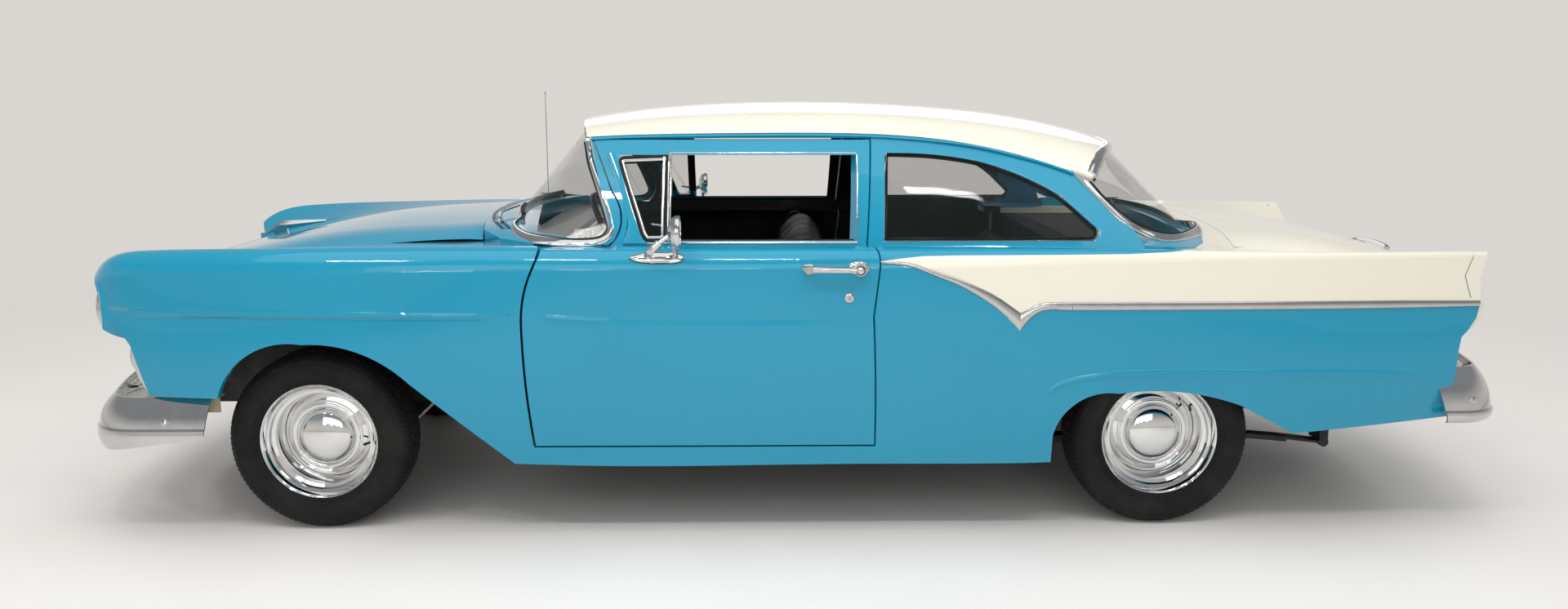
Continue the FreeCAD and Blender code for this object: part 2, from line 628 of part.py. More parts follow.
def splash_pan():
    """The pale pan that closes the gap between the bumper and the body."""
    path = bow_path(716, 2300, 160, 864, 318, 490)
    y, z, wall = 864, 492, 6
    corners = [V(318, y - 44, z - wall), V(318, y - wall, z - wall), V(318, y - wall, z - 58),
               V(318, y, z - 58), V(318, y, z), V(318, y - 44, z)]
    return swept([line(a, b) for a, b in zip(corners, corners[1:] + corners[:1])], path)


def bow_x(y, x_side, x_middle, half_width):
    """Where a bowed plate's outer face stands at y."""
    depth = x_middle - x_side
    radius = (half_width ** 2 + depth ** 2) / (2 * depth)
    return x_middle - radius + math.sqrt(radius ** 2 - y ** 2)


def grille():
    """Full-width grille: bright frame, heavy middle bar, fine bars and round parking lamps."""
    half = 800.0
    frame_bars = ((614, 700, 660, 690, 26), (574, 688, 500, 524, 26), (612, 712, 584, 616, 44))
    parts = [bowed_plate(a, b, half, z0, z1, wall) for a, b, z0, z1, wall in frame_bars]
    for z in (541, 560, 633, 647):
        parts.append(bowed_plate(592, 686, half, z - 3, z + 3, 16))
    for y in range(-570, 571, 114):
        x = bow_x(y, 592, 686, half)
        parts.append(box(x - 22, x - 8, y - 3, y + 3, 510, 675))
    band = ((609, 667), (616, 662), (613, 600), (597, 546), (570, 500), (546, 496))
    for side in (1, -1):
        end = SIDE.common(side_prism(band, 776, 842))
        parts.append(end if side > 0 else mirrored(end))
        lamp = revolved([(0, -20), (52, -20), (52, 24), (46, 30), (42, 24), (22, 32), (0, 34)],
                        (bow_x(690, 612, 712, half), side * 690, 600), (1, 0, 0))
        parts.append(lamp)
    return fuse(*parts)


def bumper(place, bar, trim):
    """A curved bright bar with a ridge, wrapped round the car's end, on two irons."""
    nose_x, _, _, side_y, end_x = place
    top, ridge, low, top_lean, low_lean, iron_z = bar
    iron_z0, iron_z1 = iron_z - IRON_HALF_HEIGHT, iron_z + IRON_HALF_HEIGHT
    wall, step = 6.0, 8.0
    outer = [(-top_lean, top), (-0.36 * top_lean, (top + ridge) / 2 + 6), (-6, ridge + step),
             (0, ridge), (0, (ridge + low) / 2), (-low_lean, low)]
    inner = [(a - wall, z) for a, z in outer]
    p = [V(end_x, side_y + a, z) for a, z in outer]
    q = [V(end_x, side_y + a, z) for a, z in inner]
    section = [arc(p[0], p[1], p[2]), line(p[2], p[3]), arc(p[3], p[4], p[5]), line(p[5], q[5]),
               arc(q[5], q[4], q[3]), line(q[3], q[2]), arc(q[2], q[1], q[0]), line(q[0], p[0])]
    shell = swept(section, bow_path(*place, 0))
    shell = shell.cut(side_prism(trim, -1100, 1100))
    way = 1.0 if nose_x > 0 else -1.0
    inside = nose_x - way * 84
    rail_end = 671.0 if nose_x > 0 else -3931.0
    irons = [box(rail_end, inside, s * 380, s * 420, iron_z0, iron_z1) for s in (1, -1)]
    feet = [box(inside - way * 4, nose_x - way * 12, s * 380, s * 420, iron_z0, iron_z1)
            for s in (1, -1)]
    hull = swept([line(p[0], p[3]), line(p[3], p[5]), line(p[5], V(end_x, side_y - 130, low)),
                  line(V(end_x, side_y - 130, low), V(end_x, side_y - 130, top)),
                  line(V(end_x, side_y - 130, top), p[0])], bow_path(*place, 0))
    return largest(fuse(shell, *irons, *[foot.common(hull) for foot in feet]))


def headlamps():
    """Two lamps: a bright ring, a domed lens and the bowl that seats in the bezel."""
    lamps = []
    y, z, radius = HEADLAMP
    for side in (1, -1):
        ring = revolved([(80, 0), (radius, 0), (radius, 12), (90, 24), (80, 18)],
                        (716, side * y, z), (1, 0, 0))
        lens = revolved([(0, -4), (82, -4), (82, 10), (60, 21), (30, 28), (0, 30)],
                        (716, side * y, z), (1, 0, 0))
        bowl = revolved([(0, 0), (40, 0), (radius - 2, 60), (radius - 2, 96), (0, 96)],
                        (622, side * y, z), (1, 0, 0))
        lamps.append(fuse(ring, lens, bowl))
    return Part.makeCompound(lamps)


def tail_lamps():
    """Round lamps under the fins: a wide bezel and a domed red lens."""
    lamps = []
    y, z, radius = TAIL_LAMP
    for side in (1, -1):
        lamps.append(revolved([(0, 0), (radius, 0), (radius, 34), (radius - 10, 50),
                               (70, 54), (66, 48), (50, 60), (26, 68), (0, 70)],
                              (-3973, side * y, z), (-1, 0, 0)))
    return Part.makeCompound(lamps)


def rear_panel():
    """The panel under the trunk lid, between the lamps."""
    return bowed_plate(-3975, -4050, 640, 446, 836, 24)


# ---------------------------------------------------------------- glass
def above_roof_wire(row, depth):
    """A closed section of all that is higher than a depth below the roof's surface."""
    x, middle_z, edge_y, edge_z, _ = row
    (y1, z1), (y2, z2) = crown_points(middle_z, edge_y, edge_z)
    e, t, sky = edge_y, depth, 1700
    return Part.Wire([
        arc(V(x, -e, edge_z - t), V(x, -y2, z2 - t), V(x, -y1, z1 - t)),
        arc(V(x, -y1, z1 - t), V(x, 0, middle_z - t), V(x, y1, z1 - t)),
        arc(V(x, y1, z1 - t), V(x, y2, z2 - t), V(x, e, edge_z - t)),
        line(V(x, e, edge_z - t), V(x, e, sky)), line(V(x, e, sky), V(x, -e, sky)),
        line(V(x, -e, sky), V(x, -e, edge_z - t))])


def under_roof(glass, roof_panel):
    """The glass without what would stand in the roof panel or above it."""
    above = loft([above_roof_wire(row, ROOF_WALL / 2) for row in ROOF_ROWS])
    return glass.cut(above).cut(roof_panel)


def windshield():
    """The wrapped windscreen, inside the area it fills."""
    glass = loft([glass_wire(row, 10) for row in SCREEN_ROWS])
    return glass.common(side_prism(SCREEN_AREA, -1000, 1000))


def rear_window():
    """The wrapped rear window, inside the area it fills."""
    glass = loft([glass_wire(row, 10) for row in BACKLIGHT_ROWS])
    return glass.common(side_prism(BACKLIGHT_AREA, -1000, 1000))


def quarter_windows():
    """The fixed panes behind the doors."""
    pane = loft([pillar_wire(row, 18, GLASS) for row in ROOF_ROWS[3:]]).common(
        side_prism(QUARTER_PANE, 400, 1100, QUARTER_BENDS))
    return Part.makeCompound([pane, mirrored(pane)])


# ---------------------------------------------------------------- inner body and cabin
FLOOR_WALL = 12.0
# The floor's top line from the firewall's foot back to the trunk, x z
FLOOR_LINE = ((-620, 470), (-790, 282), (-2130, 282), (-2160, 412), (-2440, 412), (-2560, 512),
              (-2640, 560))
TUNNEL = (170.0, 125.0, 282.0, 404.0)   # half width at foot and top, z of foot and top
WHEELHOUSE_RADIUS = 380.0
WHEELHOUSE_Y = 572.0


def floor_pan():
    """Toe board, floor, heel board and rear seat pan in one sheet, with a raised tunnel."""
    under = [(x, z - FLOOR_WALL) for x, z in FLOOR_LINE]
    sheet = side_prism(list(FLOOR_LINE) + under[::-1], -850, 850)
    foot, top, z0, z1 = TUNNEL
    ridge = cross_prism(((-foot, z0), (-top, z1), (top, z1), (foot, z0)), -700, -2440)
    wall = FLOOR_WALL
    hollow = cross_prism(((-foot + wall, z0 - wall - 4), (-top + wall, z1 - wall),
                          (top - wall, z1 - wall), (foot - wall, z0 - wall - 4)), -640, -2500)
    return fuse(sheet, ridge).cut(hollow)


def firewall():
    """The wall between engine and cabin, with the sloped aprons that carry the fenders."""
    wall = box(-608, -620, -700, 700, 300, 990)
    posts = [box(-608, -690, s * 700, s * 880, 300, 940) for s in (1, -1)]
    rooms = [box(-620, -700, s * 690, s * 868, 290, 950) for s in (1, -1)]
    aprons = []
    ends = ((-608, ((436, 438), (460, 640), (604, 930), (624, 958))),
            (540, ((436, 438), (460, 640), (596, 860), (614, 882))))
    for side in (1, -1):
        wires = []
        for x, edge in ends:
            run = [V(x, side * y, z) for y, z in edge]
            run += [V(x, side * (y - 8), z + 3) for y, z in edge[::-1]]
            wires.append(polygon(run))
        aprons.append(loft(wires, True))
    shape = fuse(wall, *[post.cut(room) for post, room in zip(posts, rooms)], *aprons)
    return shape.cut(box(-600, -700, -TUNNEL[0], TUNNEL[0], 200, 470))


def trunk_floor():
    """The trunk's floor, the wall behind the rear seat and the parcel shelf."""
    sheet = box(-2640, -3930, -870, 870, 548, 560)
    wall = box(-2640, -2652, -860, 860, 548, 962)
    shelf = box(-2640, -3000, -800, 800, 950, 962)
    return fuse(sheet, wall, shelf)


def wheel_room(side, grow=0.0):
    """The drum-shaped space over one rear wheel."""
    inner_y = WHEELHOUSE_Y - grow
    radius = WHEELHOUSE_RADIUS + grow
    start = (-WHEELBASE, side * inner_y, TYRE_RADIUS)
    return rod(start, (-WHEELBASE, side * 900, TYRE_RADIUS), radius)


def wheelhouses():
    """The inner arches over the rear wheels, open to the outside and below."""
    pieces = []
    for side in (1, -1):
        shell = wheel_room(side, FLOOR_WALL).cut(wheel_room(side))
        below = box(-2400, -3500, side * 500, side * 950, -100, 400)
        pieces.append(shell.cut(below))
    return Part.makeCompound(pieces)


def dash():
    """Instrument panel with its hooded top, and the steering column under it."""
    profile = ((-700, 1012), (-850, 1004), (-872, 980), (-862, 900), (-846, 860), (-834, 860),
               (-846, 905), (-856, 975), (-840, 990), (-700, 998))
    under_glass = ((-600, -560), (-600, 560), (-700, 560), (-800, 690), (-850, 745), (-900, 745),
                   (-900, -745), (-850, -745), (-800, -690), (-700, -560))
    panel = side_prism(profile, -745, 745).common(plan_prism(under_glass, 800, 1100))
    column = rod((-640, 372, 745.1), (-996, 372, 945.7), 24)
    return fuse(panel, column)


def steering_wheel():
    """Two-spoke wheel on the column's line."""
    axis = V(-440, 0, 248)
    axis.normalize()
    centre = V(-1018, 372, 958.1)
    rim = Part.makeTorus(205, 11, centre, axis)
    hub = Part.makeCylinder(36, 34, centre - axis * 16, axis)
    bars = [Part.makeCylinder(9, 200, centre, V(0, side, 0)) for side in (1, -1)]
    return fuse(rim, hub, *bars)


def bench(front_x, back_x, floor_z, seat_z, back_z, half_width):
    """A bench seat: a rounded cushion, a leaning backrest and two plinths clear of the tunnel."""
    y, under, lean = -half_width, seat_z - 140, 96.0
    heel = back_x + 60
    cushion = Part.Face(Part.Wire([
        line(V(heel, y, seat_z - 34), V(front_x - 60, y, seat_z)),
        arc(V(front_x - 60, y, seat_z), V(front_x - 12, y, seat_z - 22), V(front_x, y, seat_z - 70)),
        line(V(front_x, y, seat_z - 70), V(front_x - 30, y, under)),
        line(V(front_x - 30, y, under), V(heel, y, under)),
        line(V(heel, y, under), V(heel, y, seat_z - 34))]))
    foot = V(back_x + 112, y, seat_z - 60)
    corners = [V(back_x - 70, y, back_z - 44), V(back_x - 70 + lean, y, under),
               V(back_x + 112, y, under), foot, V(back_x + 30, y, back_z - 40)]
    back = Part.Face(Part.Wire(
        [line(a, b) for a, b in zip(corners, corners[1:])]
        + [arc(corners[-1], V(back_x - 22, y, back_z), corners[0])]))
    along = V(0, 2 * half_width, 0)
    plinths = [box(front_x - 70, back_x + 100, s * 190, s * (half_width - 60), floor_z, under + 5)
               for s in (1, -1)]
    return fuse(cushion.extrude(along), back.extrude(along), *plinths)


# ---------------------------------------------------------------- frame and running gear
RAIL_WIDTH = 62.0
RAIL_HEIGHT = 76.0
# One side rail's middle line, front to rear: x, y, z
RAIL_LINE = ((640, 400, 400), (-420, 400, 400), (-760, 560, 215), (-2280, 560, 215),
             (-2560, 460, 440), (-3300, 460, 440), (-3900, 430, 400))
# Cross members: x, half length, z
CROSS_ROWS = ((600, 400, 400), (0, 400, 362), (-760, 560, 215), (-1500, 560, 215),
              (-2280, 560, 215), (-3860, 434, 402))
JACK_PADS = ((-1000, 170), (-2000, 170))     # x and z of the pads under each rail
SPRING_Y = 520.0
STEER_ARM = 170.0                # from the kingpin back to the track rod
ARM_Z = 258.0
TRACK_ROD_Z = 238.0
PITMAN_Y = 330.0


def rail(points):
    """A frame rail of box section along straight runs, from x y z points."""
    pieces = []
    for a, b in zip(points, points[1:]):
        start, end = V(*a), V(*b)
        run = end - start
        flat = V(run.x, run.y, 0)
        flat.normalize()
        across = V(-flat.y, flat.x, 0) * (RAIL_WIDTH / 2)
        up = V(0, 0, RAIL_HEIGHT / 2)
        corners = [start + across + up, start - across + up, start - across - up,
                   start + across - up]
        pieces.append(Part.Face(polygon(corners)).extrude(run))
        pieces.append(box(b[0] - RAIL_WIDTH / 2, b[0] + RAIL_WIDTH / 2, b[1] - RAIL_WIDTH / 2,
                          b[1] + RAIL_WIDTH / 2, b[2] - RAIL_HEIGHT / 2, b[2] + RAIL_HEIGHT / 2))
    return pieces


def chassis():
    """Ladder frame: kicked rails, cross members, body mounts, jacking pads and the seats of the
    front arms and rear springs."""
    parts = []
    for s in (1, -1):
        parts += rail([(x, s * y, z) for x, y, z in RAIL_LINE])
        parts += [rod((x, s * 560, 250), (x, s * 560, 270), 28) for x in (-900, -1500, -2100)]
        parts += [rod((x, s * 452, 450), (x, s * 452, 548), 24) for x in (-2700, -3600)]
        parts += [box(x - 40, x + 40, s * 535, s * 585, z, 180) for x, z in JACK_PADS]
        parts.append(box(-30, 44, s * 369, s * 431, 222, 400))
        parts.append(box(-120, 120, s * 400, s * 431, 222, 244))
        parts.append(box(-80, 80, s * 400, s * 431, 430, 464))
        parts.append(box(-2350, -2312, s * 492, s * 546, 176, 240))
    for x, y, z in CROSS_ROWS:
        parts.append(box(x - 30, x + 30, -y, y, z - 38, z + 38))
    return fuse(*parts)


def engine_block():
    """The engine and gearbox as one plain block, on two mounts to the frame."""
    block = box(260, -480, -250, 250, 420, 880).cut(box(-300, -480, -250, 250, 0, 430))
    gearbox = box(-480, -1080, -120, 120, 290, 376)
    bell = box(-440, -520, -120, 120, 290, 520)
    mounts = [box(40, 120, s * 240, s * 369, 450, 480) for s in (1, -1)]
    legs = [box(60, 100, s * 340, s * 400, 438, 480) for s in (1, -1)]
    return fuse(block, gearbox, bell, *mounts, *legs)


def radiator():
    """The radiator's core between its tanks, on the front cross member."""
    core = box(436, 464, -330, 330, 470, 800)
    tanks = [box(420, 480, -340, 340, 800, 850), box(420, 480, -340, 340, 438, 470)]
    feet = [box(420, 480, s * 300, s * 400, 438, 452) for s in (1, -1)]
    return fuse(core, *tanks, *feet)


def propeller_shaft():
    """The tube from the gearbox to the final drive."""
    return rod((-1086, 0, 333), (-2830, 0, 318), 38)


def rear_axle():
    """Live axle: tubes, the final drive's housing and two leaf springs with their shackles."""
    tube = rod((-WHEELBASE, -640, TYRE_RADIUS), (-WHEELBASE, 640, TYRE_RADIUS), 38)
    housing = revolved([(0, -90), (60, -88), (104, -66), (130, -30), (134, 0), (120, 40), (84, 78),
                        (56, 92), (56, 132), (0, 132)], (-WHEELBASE, 0, TYRE_RADIUS), (1, 0, 0))
    parts = [tube, housing]
    for s in (1, -1):
        y = s * SPRING_Y
        for drop, reach in ((0, 1.0), (9, 0.8), (18, 0.58), (27, 0.36)):
            front, rear = -WHEELBASE + 616 * reach, -WHEELBASE - 715 * reach
            lift = 52 * (1 - reach ** 2)
            leaf = [V(front, y - 30, 206 + lift - drop), V(-WHEELBASE, y - 30, 262 - drop),
                    V(rear, y - 30, 218 + lift - drop)]
            low = [p - V(0, 0, 9) for p in leaf]
            wire = Part.Wire([arc(*leaf), line(leaf[2], low[2]), arc(*low[::-1]),
                              line(low[0], leaf[0])])
            parts.append(Part.Face(wire).extrude(V(0, 60, 0)))
        parts.append(box(-WHEELBASE - 50, -WHEELBASE + 50, y - 36, y + 36, 214, 300))
        parts.append(rod((-2330, y - 30, 204), (-2330, y + 30, 204), 18))
        parts.append(rod((-3661, y - 30, 216), (-3661, y + 30, 216), 18))
        parts.append(box(-3645, -3677, s * 452, s * 548, 218, 384))
    return fuse(*parts)


def suspension():
    """Lower and upper front arms with their eyes round the kingpins, and the coil towers."""
    parts = []
    for s in (1, -1):
        for z0, z1, spread in ((222, 244, 120), (448, 464, 80)):
            arm = ((24, s * KINGPIN_Y), (24, s * 590), (spread, s * 431),
                   (spread - 44, s * 431), (0, s * 540), (44 - spread, s * 431),
                   (-spread, s * 431), (-24, s * 590), (-24, s * KINGPIN_Y))
            eye = rod((0, s * KINGPIN_Y, z0), (0, s * KINGPIN_Y, z1), 28)
            hole = rod((0, s * KINGPIN_Y, z0 - 5), (0, s * KINGPIN_Y, z1 + 5), KINGPIN_RADIUS + 1.5)
            parts.append(fuse(plan_prism(arm, z0, z1), eye).cut(hole))
        coil = [revolved([(44, 0), (52, 0), (52, 12), (44, 12)], (0, s * 510, 250 + 24 * i),
                         (0, 0, 1)) for i in range(8)]
        parts.append(fuse(rod((0, s * 510, 244), (0, s * 510, 448), 45), *coil))
    return parts


def steer_arm(y, hub_top):
    """A flat arm from an upright pivot at x 0 back to the track rod's stud."""
    arm = box(0, -STEER_ARM, y - 13, y + 13, ARM_Z - 6, ARM_Z + 6)
    hub = rod((0, y, ARM_Z - 6), (0, y, hub_top), 20)
    eye = rod((-STEER_ARM, y, ARM_Z - 6), (-STEER_ARM, y, ARM_Z + 6), 18)
    hole = rod((-STEER_ARM, y, ARM_Z - 20), (-STEER_ARM, y, ARM_Z + 20), 9)
    return fuse(arm, hub, eye).cut(hole)


def swing_arm(y):
    """A steering arm that hangs by its pin in the middle cross member."""
    pin = rod((0, y, ARM_Z), (0, y, 322), 12)
    return fuse(steer_arm(y, 298), pin)


def knuckle():
    """Left steering knuckle: kingpin, stub axle, brake backing plate and steering arm."""
    upright = rod((0, KINGPIN_Y, 250), (0, KINGPIN_Y, 442), 22)
    pin = rod((0, KINGPIN_Y, 216), (0, KINGPIN_Y, 470), KINGPIN_RADIUS)
    stub = rod((0, KINGPIN_Y, TYRE_RADIUS), (0, FRONT_WHEEL_Y - 7, TYRE_RADIUS), 22)
    plate = rod((0, 674, TYRE_RADIUS), (0, 682, TYRE_RADIUS), 138)
    return fuse(upright, pin, stub, plate, steer_arm(KINGPIN_Y, 300))


def track_rod():
    """The long rod across the car, with a stud up into each arm's eye."""
    z, x = TRACK_ROD_Z, -STEER_ARM
    parts = [rod((x, -KINGPIN_Y, z), (x, KINGPIN_Y, z), 11)]
    for y in (KINGPIN_Y, PITMAN_Y, -PITMAN_Y, -KINGPIN_Y):
        parts.append(rod((x, y, z - 14), (x, y, ARM_Z - 8), 15))
        parts.append(rod((x, y, z), (x, y, ARM_Z + 10), 8))
    return fuse(*parts)


# The tyre's half section: radius, distance from the middle plane
TYRE_HALF = ((188, 64), (203, 70), (208, 88), (232, 98), (256, 100), (286, 93), (306, 78), (316, 54))
# The wheel's face, from its middle outwards, then its back: radius, distance outwards
WHEEL_FACE = ((0, 44), (40, 41), (74, 31), (94, 14), (98, 2), (112, 4), (123, 0), (127, -8),
              (142, -14), (156, 0), (164, 18), (166, 40), (178, 44), (181, 60), (190, 66),
              (198, 78), (203, 83), (203, 76), (187, 64), (187, 30))
WHEEL_BACK = ((174, 22), (172, 0), (166, -16), (162, -60), (187, -64), (203, -76), (203, -83),
              (196, -84), (186, -74), (154, -70), (150, -28), (142, -24), (142, -58), (132, -58),
              (132, -24), (60, -24), (60, -50), (23, -50), (23, -6), (0, -6))


def tyre(y):
    """A road tyre round its wheel's middle plane at y."""
    half = list(TYRE_HALF)
    profile = half + [(TYRE_RADIUS, 20), (TYRE_RADIUS, -20)] + [(r, -a) for r, a in half[::-1]]
    return revolved(profile, (0, y, TYRE_RADIUS), (0, 1, 0))


def wheel(y, side):
    """A plain dished steel wheel with its small domed cap and brake drum."""
    return revolved(WHEEL_FACE + WHEEL_BACK, (0, y, TYRE_RADIUS), (0, side, 0))


def fuel_tank():
    """A shallow tank between the rear rails, its filler's deep part under the trunk floor."""
    return fuse(box(-3380, -3820, -330, 330, 290, 360), box(-3420, -3780, -300, 300, 360, 548))


TAIL_PIPE = (27.0, 80.0)         # the tip's radius and length


def exhaust():
    """One pipe under the floor's right half: silencer, hangers and a wider tip."""
    y, z, end = -330, 146, -4010
    pipe = rod((-700, y, z), (end + 20, y, z), 24)
    silencer = rod((-1620, y, z + 6), (-2160, y, z + 6), 54)
    radius, length = TAIL_PIPE
    tip = rod((end + length, y, z), (end, y, z), radius)
    hangers = [box(x - 6, x + 6, y - 8, y + 8, z, top) for x, top in
               ((-760, 177), (-1500, 177), (-2280, 177), (-3860, 364))]
    bore = rod((end - 10, y, z), (end + 400, y, z), 21)
    return fuse(pipe, silencer, tip, *hangers).cut(bore)


def aerial():
    """A whip aerial on the right fender."""
    foot = Part.makeCone(14, 7, 30, V(-547, -800, 1000), V(0, 0, 1))
    mast = rod((-547, -800, 1028), (-547, -800, 1511), 2.5)
    return foot.fuse(mast)


def both(shape, *others):
    """A shape with others and their mirror images cut away."""
    for other in others:
        shape = shape.cut(other).cut(mirrored(other))
    return shape


def main():
    """Build every piece and write one file each."""
    os.makedirs("parts", exist_ok=True)
    roof_panel, left_fender, left_door, left_vent = roof(), fender(), door(), vent_window()
    left_side = largest(body_side().cut(roof_panel))
    left_bezel = headlamp_bezel(left_fender)
    fittings = door_fittings(left_door, left_vent)
    cowl_panel = largest(both(cowl(), left_side, left_fender))
    door_room = slant_prism(DOOR_EDGE, DOOR_BENDS, SHUT_GAP)
    screen = largest(both(under_roof(windshield(), roof_panel).cut(cowl_panel), left_side, door_room))
    deck_panel = largest(both(deck(), left_side))
    backlight = largest(both(under_roof(rear_window(), roof_panel).cut(deck_panel), left_side))
    frame, shaft_axle, column_dash = chassis(), rear_axle(), dash()
    arms = Part.makeCompound([largest(arm.cut(frame)) for arm in suspension()])
    tank = fuel_tank()
    houses = wheelhouses()
    floor = largest(both(floor_pan().cut(frame), left_side, left_fender))
    bulkhead = largest(both(firewall().cut(frame).cut(floor).cut(cowl_panel).cut(column_dash).cut(arms),
                            left_side, left_fender))
    boot = both(trunk_floor().cut(frame).cut(floor).cut(deck_panel), left_side, wheel_room(1, FLOOR_WALL))
    houses = Part.makeCompound([largest(both(house.cut(floor), left_side)) for house in houses.Solids])
    bars = largest(both(grille(), left_fender, left_bezel))
    panel = largest(both(front_panel().cut(bars), left_fender, left_bezel))
    pan = both(splash_pan().cut(bars), left_fender)
    lamps = both(headlamps(), left_bezel, left_fender).cut(panel)
    rear = both(rear_panel(), left_side)
    front_trim = ((290, 250), (290, 520), (332, 520), (332, 482), (346, 372), (440, 350),
                  (561, 336), (751, 306), (990, 296), (990, 250))
    rear_trim = ((-3840, 360), (-3840, 620), (-3862, 620), (-3862, 580), (-3880, 494),
                 (-3904, 400), (-3910, 360))
    nodes = {
        "fender_left": left_fender, "fender_right": mirrored(left_fender),
        "headlamp_bezels": Part.makeCompound([left_bezel, mirrored(left_bezel)]),
        "body_side_left": left_side, "body_side_right": mirrored(left_side),
        "door_left": left_door, "door_right": mirrored(left_door),
        "vent_window_left": left_vent, "vent_window_right": mirrored(left_vent),
        "door_fittings_left": fittings, "door_fittings_right": mirrored(fittings),
        "hood": hood(), "hood_ornament": largest(hood_ornament().cut(hood())),
        "cowl": cowl_panel, "roof": roof_panel, "deck_panel": deck_panel,
        "trunk_lid": trunk_lid(), "rear_panel": rear, "front_panel": panel,
        "splash_pan": pan, "grille": bars,
        "front_bumper": bumper(FRONT_BUMPER, FRONT_BAR, front_trim).cut(frame),
        "rear_bumper": largest(both(bumper(REAR_BUMPER, REAR_BAR, rear_trim).cut(frame), left_side)),
        "headlamps": lamps, "tail_lamps": both(tail_lamps(), left_side).cut(rear),
        "windshield": screen, "rear_window": backlight, "quarter_windows": quarter_windows(),
        "floor_pan": floor, "firewall": bulkhead, "trunk_floor": boot, "wheelhouses": houses,
        "dash": column_dash.cut(cowl_panel), "steering_wheel": steering_wheel(),
        "front_bench": bench(-1110, -1680, 282, 560, 1000, 690),
        "rear_bench": largest(bench(-2160, -2540, 412, 590, 930, 620).cut(floor).cut(boot)),
        "frame": frame, "engine_block": engine_block().cut(frame).cut(floor),
        "radiator": radiator().cut(frame), "propeller_shaft": propeller_shaft().cut(shaft_axle),
        "rear_axle": shaft_axle.cut(frame), "suspension_arms": arms, "track_rod": track_rod(),
        "knuckle_left": knuckle(), "knuckle_right": mirrored(knuckle()),
        "pitman_arm": swing_arm(PITMAN_Y), "idler_arm": swing_arm(-PITMAN_Y),
        "fuel_tank": tank, "exhaust": exhaust().cut(frame),
        "aerial": aerial().cut(mirrored(left_fender)),
    }
    for place, x, y in (("front", 0.0, FRONT_WHEEL_Y), ("rear", -WHEELBASE, REAR_WHEEL_Y)):
        for hand, side in (("left", 1), ("right", -1)):
            for name, shape in (("tyre", tyre(side * y)), ("wheel", wheel(side * y, side))):
                shape.translate(V(x, 0, 0))
                nodes["_".join((name, place, hand))] = shape
    for name, shape in nodes.items():
        save(name, shape)
        print(name, shape.isValid(), len(shape.Solids), len(shape.Faces),
              round(sum(s.Volume for s in shape.Solids) / 1e6, 2))


if __name__ == "__main__":
    main()
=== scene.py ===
"""Looks of a two-door sedan of the late 1950s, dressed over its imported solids.

Every length is in metres, apart from the profiles that mm() takes in millimetres. Places along the car are
written from the front axle, where x is 0, as in the part's source, and CarFrame.at() moves them into the
row frame.
"""
from __future__ import annotations

import json
import logging
import math
from dataclasses import dataclass, field
from enum import Enum
from typing import Callable, Sequence

import bmesh
import bpy
from mathutils import Matrix, Vector
from mathutils.bvhtree import BVHTree

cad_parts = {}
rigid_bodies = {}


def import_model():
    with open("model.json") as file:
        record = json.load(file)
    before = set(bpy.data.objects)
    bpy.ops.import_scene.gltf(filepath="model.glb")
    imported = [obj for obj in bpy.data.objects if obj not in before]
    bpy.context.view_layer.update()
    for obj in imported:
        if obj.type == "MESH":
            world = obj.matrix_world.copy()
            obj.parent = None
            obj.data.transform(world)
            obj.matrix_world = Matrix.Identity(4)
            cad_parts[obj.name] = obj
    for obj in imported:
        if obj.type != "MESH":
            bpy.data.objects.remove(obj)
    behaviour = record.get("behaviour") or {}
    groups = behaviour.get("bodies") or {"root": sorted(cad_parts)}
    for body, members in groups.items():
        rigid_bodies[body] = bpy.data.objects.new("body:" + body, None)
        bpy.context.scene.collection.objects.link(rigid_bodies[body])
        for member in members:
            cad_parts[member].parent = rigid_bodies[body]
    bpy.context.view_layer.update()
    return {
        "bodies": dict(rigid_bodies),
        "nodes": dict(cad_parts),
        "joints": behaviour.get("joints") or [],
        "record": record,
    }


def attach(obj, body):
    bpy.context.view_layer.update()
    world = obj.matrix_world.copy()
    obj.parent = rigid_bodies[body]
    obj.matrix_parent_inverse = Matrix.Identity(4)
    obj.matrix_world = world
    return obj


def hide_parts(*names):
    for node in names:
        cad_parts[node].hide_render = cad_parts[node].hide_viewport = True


LOG = logging.getLogger("sedan")
Colour = tuple[float, float, float]
Flat = tuple[float, float]
Point = tuple[float, float, float]
SIDES = (("left", 1.0), ("right", -1.0))
UP, DOWN = Vector((0, 0, 1)), Vector((0, 0, -1))
FORWARD, BACK, LEFT = Vector((1, 0, 0)), Vector((-1, 0, 0)), Vector((0, 1, 0))
# The radius at which a turned profile closes
TIP = 0.0001
# Where probing rays start: above the car, beside it, ahead of it and behind it
ABOVE, BESIDE, AHEAD, BEHIND = 1.8, 1.4, 1.2, -4.8


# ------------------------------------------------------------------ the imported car
class Slot(Enum):
    """The record's material slots, which each look names beside its finish."""

    BLUE = "body_blue"
    CREAM = "body_cream"
    BRIGHT = "bright_metal"
    WINDOW = "window_glass"
    LAMP = "lamp_glass"
    RED = "red_lens"
    BLACK = "black_metal"
    WHEEL = "wheel_chrome"
    TYRE = "tyre_rubber"
    VINYL = "black_vinyl"
    DASH = "dash_paint"
    PLASTIC = "black_plastic"
    STEEL = "steel"


